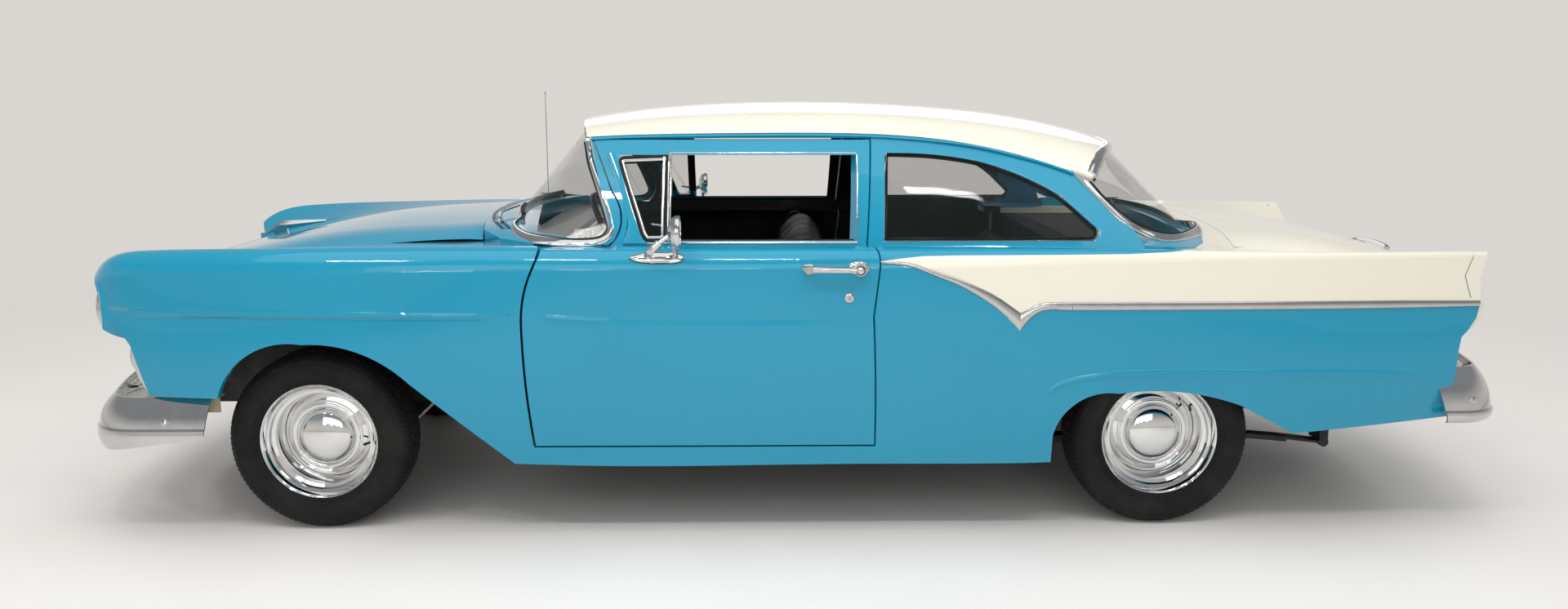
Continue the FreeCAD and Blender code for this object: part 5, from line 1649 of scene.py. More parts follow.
@dataclass
class PressedLines(Assembly):
    """Lines pressed into the body that are too fine for the solids: drip rails and arch creases."""

    rail: tuple[Point, ...] = ((-0.950, 0.636, 1.354), (-1.100, 0.646, 1.361), (-1.454, 0.657, 1.367),
        (-1.914, 0.661, 1.364), (-2.255, 0.667, 1.335), (-2.486, 0.675, 1.283), (-2.600, 0.682, 1.248),
        (-2.640, 0.686, 1.235))
    crease: tuple[Flat, ...] = ((-2.505, 0.500), (-2.525, 0.522), (-2.561, 0.547), (-2.643, 0.567),
        (-2.781, 0.581), (-2.983, 0.586), (-3.255, 0.582), (-3.509, 0.578), (-3.742, 0.568), (-3.880, 0.560))
    fender: tuple[Flat, ...] = ((0.600, 0.786), (0.450, 0.790), (0.293, 0.791), (-0.052, 0.790),
        (-0.377, 0.786), (-0.560, 0.785), (-0.748, 0.783))
    door: tuple[Flat, ...] = ((-0.812, 0.782), (-0.880, 0.779), (-0.960, 0.775), (-1.060, 0.770))
    ledge: tuple[Flat, ...] = ((0.0, -0.002), (0.0, 0.0002), (0.25, 0.002), (0.45, 0.0048), (0.55, 0.0052),
        (0.75, 0.003), (1.0, 0.0002), (1.0, -0.002))

    def build(self) -> None:
        """Make the rails and creases of both sides."""
        for hand, sign in SIDES:
            node = "body_side_" + hand
            run, outs = [], []
            for p in smooth_run([Vector(p) for p in self.rail], 6):
                run.append(self.car.at(p.x, sign * p.y, p.z))
                outs.append(Vector((0, sign, 0.25)).normalized())
            section = mm((-6, -2), (-6, 9), (-4, 11), (1, 11), (2.5, 8), (2.5, 3), (6, -2))
            self.piece("drip_rail_" + hand, swept(run, outs, section), Look.BLUE)
            for name, line, panel, body in (("arch_crease_", self.crease, node, "body"),
                    ("fender_crease_", self.fender, "fender_" + hand, "body"),
                    ("door_crease_", self.door, "door_" + hand, "door_" + hand)):
                shape = self._crease(line, sign, panel)
                self.piece(name + hand, shape, Look.BLUE, body, angle=70)
            seam, outs = zip(*[self.car.side(x, z, sign, node)
                for x, z in spaced(mm((-3958, 830), (-3930, 905), (-3962, 995)), 0.01, False)])
            self.piece("fin_seam_" + hand, swept(seam, outs, bead_section(0.0022, 0.0006)), Look.BLACK)

    def _crease(self, line: Sequence[Flat], sign: float, panel: str) -> Shape:
        """Return the soft ledge pressed along a line: a long slope up to it, a short one below it.

        Args:
            line: Place along the car and height.
            sign: 1 on the left side, -1 on the right.
            panel: The node that it is pressed into.

        Returns:
            The ledge, which fades out towards both ends.
        """
        stations, rows = smooth_run([Vector((x, z, 0)) for x, z in line], 5), []
        count = len(stations)
        for i, p in enumerate(stations):
            high, out = self.car.side(p.x, p.y + 0.012, sign, panel)
            low, _ = self.car.side(p.x, p.y - 0.016, sign, panel)
            fade = min(1.0, 6 * i / count, 6 * (count - 1 - i) / count)
            rows.append([low.lerp(high, t) + out * (h if h < 0.0003 else h * fade) for t, h in self.ledge])
        return grid(rows, closed_rows=True, caps=True)


# ------------------------------------------------------------------ wheels
@dataclass
class RoadWheel(Assembly):
    """One wheel: a tyre with moulded tread in place of the plain one, and its bright dressing."""

    place: str
    hand: str
    centre_x: float
    centre_y: float
    tyre_radius: float = 0.318
    segments: int = 300

    def build(self) -> None:
        """Make the tyre, cap, rings, valve and nuts."""
        sign = dict(SIDES)[self.hand]
        body = "road_wheel_%s_%s" % (self.place, self.hand)
        key = "%s_%s" % (self.place, self.hand)
        centre = self.car.at(self.centre_x, sign * self.centre_y, self.tyre_radius)
        out = Vector((0, sign, 0))
        self.piece("tyre_moulded_" + key, self._tyre(centre, out), Look.TYRE, body, angle=28,
            replaces=["tyre_" + key])
        cap = mm((99.5, -2), (100.5, 3)) + dome(0.0985, 0.006, 0.0395, 16)
        self.piece("hub_cap_" + key, turned(cap, centre, out), Look.WHEEL, body, angle=60)
        ring = rounded_profile(mm((186, 60), (189, 66), (198.5, 79.5), (204.5, 83.8), (205, 78), (204, 70)),
            0.004)
        self.piece("rim_lip_" + key, turned(ring, centre, out), Look.WHEEL, body, angle=60)
        step = [(0.112 + 0.009 * math.cos(t), 0.0035 + 0.005 * math.sin(t))
            for t in (math.pi * i / 10 for i in range(11))]
        self.piece("cap_ring_" + key, turned(step, centre, out), Look.WHEEL, body, angle=60)
        self._valve(centre, out, body, key)

    def _tyre(self, centre: Vector, out: Vector) -> Shape:
        """Return the tyre: ringed sidewalls, four grooves and fine shoulder cuts.

        Args:
            centre: The wheel's middle.
            out: The axis, outwards.

        Returns:
            The tyre.
        """
        side = mm((189, 64), (202.5, 70.5), (205.5, 82), (208.5, 87.5), (212.5, 89.5), (215, 88.8),
            (217.5, 91.8), (224, 95.2), (226, 94.4), (228.5, 96.8), (242, 99), (256, 99.8), (270, 98.2),
            (279, 95.8), (281.5, 93.8), (284, 93.8), (288, 92), (295, 87.8), (298.5, 85.2), (304.5, 79.5),
            (308.5, 73.5), (312, 67), (314.5, 60), (315.2, 56))
        crown = []
        for edge in (0.050, 0.026):
            radius = 0.3172 if edge > 0.04 else 0.3178
            crown += [(radius - 0.0014, edge + 0.0045), (radius - 0.0075, edge + 0.0035),
                (radius - 0.0075, edge - 0.0035), (radius, edge - 0.0045)]
            crown.append((radius, edge - 0.012))
        crown += mm((317.8, 6), (317.8, 4.5), (312, 3.5))
        half = side + crown
        profile = half + [(r, -a) for r, a in half[::-1]]
        shoulder = {i for i, (r, a) in enumerate(profile) if 0.0600 <= abs(a) <= 0.0855 and r > 0.297}
        blocks = {i for i, (r, a) in enumerate(profile) if abs(a) < 0.0595 and r > 0.3150}

        def change(i: int, k: int) -> float:
            """Return how far a cut goes in at a profile point and segment.

            Args:
                i: The profile point.
                k: The segment.

            Returns:
                The distance added to the radius, less than 0 in a cut.
            """
            if i in shoulder and k % 3 == 0:
                return -0.0035
            if i in blocks and (k + (i // 3) * 2) % 6 == 0:
                return -0.0045
            return 0.0

        return turned(profile, centre, out, self.segments, change)

    def _valve(self, centre: Vector, out: Vector, body: str, key: str) -> None:
        """Make the valve and the nuts on the drum.

        Args:
            centre: The wheel's middle.
            out: The way outwards.
            body: The body that the pieces ride on.
            key: The wheel's place and side.
        """
        turn = math.radians(-8 if self.place == "front" else 38)
        way = Vector((-math.cos(turn), 0, math.sin(turn)))
        foot = centre + way * 0.160 + out * 0.010
        lean = (out * 0.7 - way * 0.25).normalized()
        stem = tube([foot, foot + lean * 0.028], 0.0042, 14)
        cap = tube([foot + lean * 0.026, foot + lean * 0.040], 0.0052, 14)
        self.piece("valve_" + key, stem.add(cap), Look.RUBBER, body, bevel=0.0008)
        nuts = Shape()
        for k in range(5):
            angle = 2 * math.pi * k / 5
            spot = centre + Vector((math.cos(angle), 0, math.sin(angle))) * 0.045 - out * 0.058
            nuts.add(hex_shape(spot, -out, 0.022, 0.012))
        self.piece("drum_nuts_" + key, nuts, Look.STEEL, body)


# ------------------------------------------------------------------ doors
def oval_plate(place: Vector, out: Vector, width: float, height: float, thick: float) -> Shape:
    """Return a domed oval plate, longest along the car.

    Args:
        place: Where it sits.
        out: The way outwards.
        width: Its length along the car.
        height: Its height.
        thick: Its thickness.

    Returns:
        The plate.
    """
    profile = [(1.0, -0.5), (1.0, 0.3), (0.93, 0.75), (0.75, 1.0), (0.4, 1.1), (TIP, 1.12)]
    shape = turned([(r, a * thick) for r, a in profile], Vector(), LEFT, 40)
    hand = 1.0 if out.y > 0 else -1.0
    return Shape([place + Vector((p.x * width / 2, p.y * hand, p.z * height / 2)) for p in shape.points],
        shape.faces)


@dataclass
class DoorDress(Assembly):
    """One door's fittings outside, and its card, winder, handle and arm rest inside."""

    hand: str

    def _skin(self, x: float, z: float) -> tuple[Vector, Vector]:
        """Touch the door's outer skin at x and z."""
        return self.car.side(x, z, dict(SIDES)[self.hand], "door_" + self.hand)

    def _inner(self, x: float, z: float) -> Vector:
        """Return the place on the door's inner face at x and z."""
        sign = dict(SIDES)[self.hand]
        return self.car.touch(self.car.at(x, sign * 0.3, z), Vector((0, sign, 0)), "door_" + self.hand)[0]

    def build(self) -> None:
        """Make the door's pieces."""
        sign, body, car = dict(SIDES)[self.hand], "door_" + self.hand, self.car
        out = Vector((0, sign, 0))
        plates = Shape()
        for x, width, height in ((-1.868, 0.074, 0.046), (-1.702, 0.044, 0.030)):
            plates.add(oval_plate(self._skin(x, 0.946)[0], out, width, height, 0.006))
        self.piece("handle_plates_" + self.hand, plates, Look.CHROME, body, angle=60)
        grip = smooth_run([car.at(x, sign * y, z) for x, y, z in ((-1.684, 0.985, 0.947),
            (-1.706, 1.003, 0.947), (-1.760, 1.0115, 0.946), (-1.830, 1.0115, 0.944), (-1.880, 1.009, 0.943),
            (-1.896, 0.998, 0.943))], 6)
        shell = mm((-9.5, -3), (-8.5, 2), (-4, 4.5), (4, 4.5), (8.5, 2), (9.5, -3))
        self.piece("handle_grip_" + self.hand, swept(grip, [out] * len(grip), shell), Look.CHROME, body,
            bevel=0.001)
        button = car.at(-1.872, sign * 1.0135, 0.9435)
        ring = turned(mm((15.5, -4), (15.5, 1), (12.5, 2), (11.8, 0.2)), button, out, 40)
        self.piece("button_ring_" + self.hand, ring, Look.BLACK, body)
        face = turned(mm((11.5, -4), (11.5, 2.5), (9.5, 3.5), tip=4), button, out, 40)
        self.piece("push_button_" + self.hand, face, Look.CHROME, body, angle=50)
        spot, normal = self._skin(-1.838, 0.846)
        lock = turned(mm((16.5, -2), (16.5, 3), (14.5, 5), (10.5, 5.5), (10, 4), tip=4), spot, normal, 40)
        self.piece("lock_" + self.hand, lock, Look.CHROME, body, angle=50)
        # The key slot is a black slab on the lock's face: painted shade for the recess of the keyway.
        slot = slab([spot + normal * 0.0037 + Vector((a, 0, b)) for a, b in oblong(0.001, 0.006)],
            normal * 0.0008)
        self.piece("keyway_shade_" + self.hand, slot, Look.BLACK, body)
        self._mirror(body, sign)
        self._card(body, sign)

    def _mirror(self, body: str, sign: float) -> None:
        """Make the mirror's glass, rim, stand with its foot pad, and gasket.

        Args:
            body: The body that the pieces ride on.
            sign: 1 on the left side, -1 on the right.
        """
        car = self.car
        centre = car.at(-1.2762, sign * 1.000, 1.070)
        glass = turned(mm((50, 0), (50, 1.2), tip=1.8), centre, BACK, 64)
        self.piece("mirror_glass_" + self.hand, glass, Look.MIRROR, body, angle=60)
        rim = turned(mm((49.5, 1), (50, 3.5), (52.5, 4.2), (54.5, 2), (54.9, -4), (54.5, -10)), centre, BACK,
            64)
        self.piece("mirror_rim_" + self.hand, rim, Look.CHROME, body, angle=60)
        foot = mm((-1103, 977.5), (-1135, 990), (-1180, 994.5), (-1262, 992.5), (-1282, 985), (-1289, 977.5),
            (-1282, 969), (-1262, 962.5), (-1180, 962), (-1135, 966))
        loop = spaced(rounded_loop(foot, [0.012] * len(foot)), 0.008)
        layers = []
        for share, rise in ((1.0, -0.004), (1.0, 0.005), (0.90, 0.0085), (0.60, 0.0115), (0.25, 0.0125)):
            layer = []
            for x, z in loop:
                spot, normal = car.side(-1.197 + (x + 1.197) * share, 0.978 + (z - 0.978) * share, sign, body)
                layer.append(spot + normal * rise)
            layers.append(layer)
        stand = grid(layers, closed_rows=True, caps=True)
        root, _ = car.side(-1.165, 0.982, sign, body)
        stem = smooth_run([root, car.at(-1.178, sign * 0.992, 1.002), car.at(-1.205, sign * 0.998, 1.030),
            car.at(-1.240, sign * 1.000, 1.056), car.at(-1.262, sign * 1.000, 1.068)], 5)
        section = mm((-13, -4), (-10, 4), (0, 7), (10, 4), (13, -4), (0, -7))
        thin = [(a * 0.6, b * 0.6) for a, b in section]
        stand.add(swept(stem[:12], [Vector((0, sign, 0))] * 12, section))
        stand.add(swept(stem[10:], [Vector((0, sign, 0))] * len(stem[10:]), thin))
        self.piece("mirror_stand_" + self.hand, stand, Look.CHROME, body, bevel=0.001, angle=50)
        points, outs = zip(*[car.side(x, z, sign, body) for x, z in pushed(loop, 0.0015)])
        inner = [car.side(x, z, sign, body)[0] for x, z in pushed(loop, -0.004)]
        self.piece("mirror_gasket_" + self.hand, ribbon(list(points), inner, list(outs), 0.0012, closed=True),
            Look.SEAL, body)

    def _card(self, body: str, sign: float) -> None:
        """Make the trimmed card on the door's inner face and what is fixed to it.

        Args:
            body: The body that the pieces ride on.
            sign: 1 on the left side, -1 on the right.
        """
        car = self.car
        xs = [-0.92 - 0.02 * i for i in range(47)]
        zs = [0.42 + 0.02 * i for i in range(28)]
        rows, backs = [], []
        for x in xs:
            line, back = [], []
            for z in zs:
                place = self._inner(x, z)
                edge = min(x - xs[-1], xs[0] - x, z - zs[0], zs[-1] - z) / 0.02
                pleat = 0.002 * abs(math.sin(math.pi * (x + 0.92) / 0.06)) if 0.62 < z < 0.86 else 0.0
                line.append(place - Vector((0, sign * (0.005 * min(1.0, edge) + pleat), 0)))
                back.append(place + Vector((0, sign * 0.001, 0)))
            rows.append(line)
            backs.append(back)
        self.piece("door_card_" + self.hand, grid(rows).add(grid(backs)), Look.CARD, body, angle=70)
        strips = Shape()
        for z in (0.58, 0.80):
            run = [self._inner(x, z) - Vector((0, sign * 0.006, 0)) for x in xs[1:-1]]
            strips.add(swept(run, [Vector((0, -sign, 0))] * len(run), bead_section(0.010, 0.003)))
        self.piece("card_strips_" + self.hand, strips, Look.CHROME, body)
        cranks = Shape()
        for x, z, reach in ((-1.46, 0.74, 0.105), (-1.24, 0.80, 0.090)):
            hub = self._inner(x, z) - Vector((0, sign * 0.006, 0))
            cranks.add(turned(mm((20, 0), (19, 10), (12, 16), tip=18), hub, Vector((0, -sign, 0)), 32))
            tip = hub + Vector((-reach, -sign * 0.020, 0.012))
            cranks.add(tube([hub + Vector((0, -sign * 0.012, 0)), tip], 0.006, 14))
            cranks.add(tube([tip, tip + Vector((0, -sign * 0.022, 0))], 0.009, 16))
        self.piece("winder_and_handle_" + self.hand, cranks, Look.CHROME, body, bevel=0.0015)
        seat = self._inner(-1.44, 0.68)
        rest = smooth_run([Vector((car.axle_x + x, seat.y - sign * y, z))
            for x, y, z in ((-1.26, 0.006, 0.672), (-1.32, 0.030, 0.680), (-1.44, 0.036, 0.684),
            (-1.56, 0.030, 0.680), (-1.60, 0.006, 0.672))], 5)
        self.piece("arm_rest_" + self.hand,
            swept(rest, [UP] * len(rest), mm((-26, -22), (-26, 10), (-15, 18), (15, 18), (26, 10),
            (26, -22))), Look.VINYL, body, bevel=0.004)


# ------------------------------------------------------------------ front and rear ends
@dataclass
class CarEnd(Assembly):
    """One end of the car, with the bolts and the blank plate on its bumper."""

    def _bolts(self, end: str, start: float, way: Vector, level: float, corner: Flat) -> None:
        """Bolt a bumper across its face and round its two corners.

        Args:
            end: Front or rear.
            start: Where the rays that find its face start, along the car.
            way: Their direction.
            level: The height of the bolts on its face.
            corner: Where the bolt at each corner is, along the car and in height.
        """
        car, node, bolts = self.car, end + "_bumper", Shape()
        for y in (-0.62, -0.40, 0.40, 0.62):
            bolts.add(bolt_shape(*car.touch(car.at(start, y, level), way, node), 0.012, 0.007))
        for _, sign in SIDES:
            bolts.add(bolt_shape(*car.side(*corner, sign, node), 0.012, 0.007))
        self.piece(node + "_bolts", bolts, Look.CHROME, angle=60)

    def _plate(self, name: str, middle: Vector, way: float) -> None:
        """Hang a blank plate with its frame and bolts on a bumper.

        Args:
            name: Front or rear.
            middle: The bumper's surface behind the plate's middle.
            way: 1 where it faces forward, -1 where it faces back.
        """
        half, high, face = 0.152, 0.076, middle.x - way * 0.0005
        corners = rounded_loop(oblong(half, high), [0.014] * 4)
        sheet = [Vector((face, a, middle.z + b)) for a, b in corners]
        self.piece(name + "_plate", slab(sheet, Vector((way * 0.0016, 0, 0))), Look.CREAM)
        edge = [Vector((face + way * 0.001, a, middle.z + b)) for a, b in spaced(corners, 0.02)]
        inner = [Vector((p.x, p.y * 0.955, middle.z + (p.z - middle.z) * 0.91)) for p in edge]
        self.piece(name + "_plate_frame", ribbon(edge, inner, [Vector((way, 0, 0))] * len(edge), 0.0022,
            closed=True), Look.SATIN)
        heads = Shape()
        for a in (-0.09, 0.09):
            for b in (-0.060, 0.060):
                heads.add(bolt_shape(Vector((face + way * 0.0015, a, middle.z + b)), Vector((way, 0, 0)),
                    0.0045, 0.003))
        self.piece(name + "_plate_bolts", heads, Look.STEEL)


@dataclass
class FrontEnd(CarEnd):
    """Headlamp rims and glasses, parking lamps, grille backing, bumper bolts and a blank plate."""

    lamp: tuple[float, float] = (0.712, 0.785)

    def build(self) -> None:
        """Make the front end's pieces."""
        for hand, sign in SIDES:
            centre = self.car.at(0.716, sign * self.lamp[0], self.lamp[1])
            rim = mm((78.5, 10), (79, 20), (83, 25.2), (90, 26.2), (96.5, 21), (99, 12), (99.2, -4))
            self.piece("headlamp_rim_" + hand, turned(rim, centre, FORWARD), Look.CHROME, angle=60)
            glass = mm((80, 15), (79, 18.5)) + dome(0.0780, 0.0190, 0.0140, 10, 1)
            self.piece("headlamp_glass_" + hand, turned(glass, centre, FORWARD), Look.HEADLAMP, angle=60)
            screws = Shape()
            for turn in (90, 210, 330):
                way = Vector((0, math.cos(math.radians(turn)), math.sin(math.radians(turn))))
                screws.add(bolt_shape(centre + way * 0.0865 + FORWARD * 0.0250, FORWARD, 0.003, 0.002))
            self.piece("headlamp_screws_" + hand, screws, Look.STEEL)
            self._parking(hand, sign)
        self._backing()
        self._bumper()

    def _parking(self, hand: str, sign: float) -> None:
        """Make one parking lamp's glass and ring, seated on the lamp in the grille.

        Args:
            hand: Left or right.
            sign: 1 on the left side, -1 on the right.
        """
        face, _ = self.car.touch(self.car.at(AHEAD, sign * 0.690, 0.600), -FORWARD, "grille")
        spot = Vector((face.x - 0.012, face.y, face.z))
        glass = mm((41.5, 0), (41.5, 10)) + dome(0.0400, 0.0110, 0.0090, 8)
        self.piece("parking_glass_" + hand, turned(glass, spot, FORWARD, 64), Look.SMALL_LAMP, angle=60)
        ring = mm((41, 2), (41.5, 12.5), (45, 15), (51, 13), (53.5, 5), (53.5, -6))
        self.piece("parking_ring_" + hand, turned(ring, spot, FORWARD, 64), Look.CHROME, angle=60)

    def _backing(self) -> None:
        """Hang a black pressed panel behind the grille's bars."""
        car = self.car
        rows = []
        for i in range(41):
            y = -0.62 + 1.24 * i / 40
            x = 0.556 + 0.060 * (1 - (y / 0.62) ** 2) - 0.004 * (i % 2)
            rows.append([car.at(x, y, 0.508), car.at(x, y, 0.600), car.at(x, y, 0.664),
                car.at(x - 0.003, y, 0.664), car.at(x - 0.003, y, 0.600), car.at(x - 0.003, y, 0.508)])
        self.piece("grille_backing", grid(rows, closed_rows=True, caps=True), Look.CHASSIS)

    def _bumper(self) -> None:
        """Bolt the front bumper and hang a blank plate at its middle."""
        car = self.car
        self._bolts("front", AHEAD, BACK, 0.360, (0.478, 0.418))
        nose, _ = car.touch(car.at(AHEAD, 0, 0.345), BACK, "front_bumper")
        middle = Vector((nose.x - 0.045, 0, 0.240))
        self._plate("front", middle, 1.0)
        straps = Shape()
        for y in (-0.09, 0.09):
            low, high = Vector((-0.004, y - 0.012, 0.030)), Vector((-0.0006, y + 0.012, 0.120))
            straps.add(block(middle + low, middle + high))
        self.piece("front_plate_straps", straps, Look.CHASSIS)


@dataclass
class RearEnd(CarEnd):
    """Tail lamps in their pods with reversing glasses, trunk fittings, bumper bolts and a blank plate."""

    lamp: tuple[float, float] = (0.796, 0.791)

    def build(self) -> None:
        """Make the rear end's pieces."""
        car = self.car
        for hand, sign in SIDES:
            centre = car.at(-3.973, sign * self.lamp[0], self.lamp[1])
            pod = rounded_profile(mm((97.5, -4), (98.5, 20), (97, 36), (88, 50.5), (74, 56), (70, 54),
                (69, 40)), 0.006)
            self.piece("tail_lamp_pod_" + hand, turned(pod, centre, BACK), Look.CREAM, angle=60,
                replaces=["tail_lamps"] if hand == "left" else [])
            ring = rounded_profile(mm((72, 42), (72.5, 56), (68, 59), (62, 56), (60, 48)), 0.003)
            self.piece("tail_lamp_ring_" + hand, turned(ring, centre, BACK), Look.CHROME, angle=60)
            lens = mm((62.5, 40), (61.8, 50), (52, 54.5), (50, 53.5), (33, 57), (31, 55.5), (18, 57.5),
                tip=58)
            self.piece("tail_lamp_lens_" + hand, turned(rounded_profile(lens, 0.002), centre, BACK), Look.RED,
                angle=40)
            middle = mm((23, 56), (23, 60), (20.5, 62.2), tip=63)
            self.piece("reversing_glass_" + hand, turned(middle, centre, BACK, 48), Look.SMALL_LAMP, angle=50)
        self._trunk()
        self._bolts("rear", BEHIND, FORWARD, 0.500, (-3.992, 0.475))
        self._plate("rear", car.touch(car.at(BEHIND, 0, 0.497), FORWARD, "rear_bumper")[0]
            - Vector((0.004, 0, 0)), -1.0)

    def _trunk(self) -> None:
        """Make the trunk lid's handle and its lock."""
        car = self.car
        base, normal = car.top(-4.040, 0.0, "trunk_lid")
        grip = smooth_run([base + Vector((x, y, z))
            for x, y, z in ((0.0, -0.150, 0.004), (-0.014, -0.120, 0.010), (-0.022, -0.05, 0.014),
            (-0.024, 0.0, 0.015), (-0.022, 0.05, 0.014), (-0.014, 0.120, 0.010), (0.0, 0.150, 0.004))], 5)
        section = mm((-12, -6), (-10, 3), (0, 7), (10, 3), (12, -6))
        self.piece("trunk_handle", swept(grip, [normal] * len(grip), section), Look.CHROME, "trunk_lid",
            bevel=0.001)
        spot, normal = car.top(-4.012, 0.0, "trunk_lid")
        lock = turned(mm((17, -2), (17, 3), (14, 5), (9, 5.5), (8.5, 4), tip=4), spot, normal, 40)
        self.piece("trunk_lock", lock, Look.CHROME, "trunk_lid", angle=50)


# ------------------------------------------------------------------ cowl and screen
@dataclass
class CowlDress(Assembly):
    """Fresh-air louvres, wiper arms and blades, and the aerial's collar and tip."""

    def build(self) -> None:
        """Make the cowl's pieces."""
        car = self.car
        slots, lips = Shape(), Shape()
        for row, back in ((0, 0.030), (1, 0.052)):
            for i in range(-26, 27):
                y = i * 0.0245
                if abs(y) < 0.02:
                    continue
                x = self._line(y) + 0.075 - back
                spot, normal = car.top(x, y, "cowl")
                long, wide = 0.0075, 0.0085
                # Each slot is a black slab laid on the cowl: painted shade for the dark inside the louvre's
                # opening, behind its blue lip.
                slots.add(slab([spot + Vector((a, b, 0)) + normal * 0.0002 for a, b in oblong(long, wide)],
                    normal * 0.0006))
                lips.add(
                    slab([spot + Vector((a, b, 0)) + normal * 0.0002 for a, b in ((-long - 0.002, -wide),
                    (-long + 0.002, -wide), (-long + 0.002, wide), (-long - 0.002, wide))], normal * 0.0024))
        self.piece("cowl_louvre_slot_shade", slots, Look.BLACK)
        self.piece("cowl_louvre_lips", lips, Look.BLUE)
        for hand, sign in SIDES:
            self._wiper(hand, sign)
        ring = turned(mm((20, -4), (20, 6), (16, 12), (10, 16)), car.at(-0.547, -0.800, 1.000), UP, 40)
        self.piece("aerial_collar", ring, Look.CHROME, angle=50)
        tip = turned(mm((2.5, 0), (4, 3), (4, 6), tip=9), car.at(-0.547, -0.800, 1.500), UP, 24)
        self.piece("aerial_tip", tip, Look.CHROME)

    def _line(self, y: float) -> float:
        """Return where the windscreen's foot lies at y."""
        return -0.560 - 0.115 * (abs(y) / 0.64) ** 2.6

    def _wiper(self, hand: str, sign: float) -> None:
        """Make one wiper: spindle, arm and blade along the glass.

        Args:
            hand: Left or right.
            sign: 1 on the left side, -1 on the right.
        """
        car = self.car
        base, normal = car.top(-0.588, sign * 0.500, "cowl")
        spindle = turned(mm((16, -4), (15, 6), (9, 10), (9, 18), tip=20), base, normal, 32)
        glass = []
        for i in range(12):
            y = sign * (0.470 - 0.034 * i)
            start = car.at(1.4, y, 1.078)
            glass.append(car.touch(start, BACK, "windshield"))
        middle, out = glass[6]
        arm = smooth_run([base + UP * 0.014, base + UP * 0.022 + Vector((0.012, -sign * 0.09, 0)),
            middle + out * 0.018], 6)
        self.piece("wiper_arm_" + hand, spindle.add(tube(arm, 0.0035, 12)), Look.CHROME)
        run = [p + n * 0.006 for p, n in glass]
        self.piece("wiper_blade_" + hand,
            swept(run, [n for _, n in glass], mm((-4, -6), (-4, 2), (0, 5), (4, 2), (4, -6))), Look.SEAL)


# ------------------------------------------------------------------ cabin
def applied(item: bpy.types.Object) -> None:
    """Turn an object's modifiers into its mesh.

    Args:
        item: The object.
    """
    graph = bpy.context.evaluated_depsgraph_get()
    mesh = bpy.data.meshes.new_from_object(item.evaluated_get(graph))
    item.modifiers.clear()
    item.data = mesh


def puffed(item: bpy.types.Object, voxel: float, reach: float, rest_z: float) -> None:
    """Swell a sewn form as a filled cushion swells.

    Args:
        item: The closed form, slightly smaller than the cushion.
        voxel: The size of its new mesh's faces.
        reach: The farthest that a point may move.
        rest_z: The height that it rests on, and stays flat at.
    """
    even = item.modifiers.new("even mesh", "REMESH")
    even.mode, even.voxel_size = "VOXEL", voxel
    applied(item)
    before = [v.co.copy() for v in item.data.vertices]
    cloth = item.modifiers.new("filled cloth", "CLOTH")
    cloth.settings.use_pressure = True
    cloth.settings.uniform_pressure_force = 4.0
    cloth.settings.tension_stiffness = cloth.settings.compression_stiffness = 12.0
    cloth.settings.effector_weights.gravity = 0.0
    cloth.point_cache.frame_start, cloth.point_cache.frame_end = 1, 20
    scene = bpy.context.scene
    for step in range(1, 21):
        scene.frame_set(step)
    applied(item)
    scene.frame_set(1)
    for vertex, start in zip(item.data.vertices, before):
        way = vertex.co - start
        if way.length > reach:
            vertex.co = start + way * (reach / way.length)
    for vertex in item.data.vertices:
        vertex.co.z = max(vertex.co.z, rest_z)
    item.data.shade_smooth()
    fine = item.modifiers.new("fine surface", "SUBSURF")
    fine.levels = fine.render_levels = 1


def channelled(item: bpy.types.Object, gap: float, depth: float) -> None:
    """Press sewn channels, evenly spaced across the car, into a cushion's faces.

    Args:
        item: The cushion.
        gap: The distance between channels.
        depth: How deep they go.
    """
    mesh = item.data
    for vertex in mesh.vertices:
        away = abs((vertex.co.y / gap + 0.5) % 1.0 - 0.5) * gap
        press = depth * max(0.0, 1.0 - away / 0.020)
        vertex.co -= vertex.normal * press


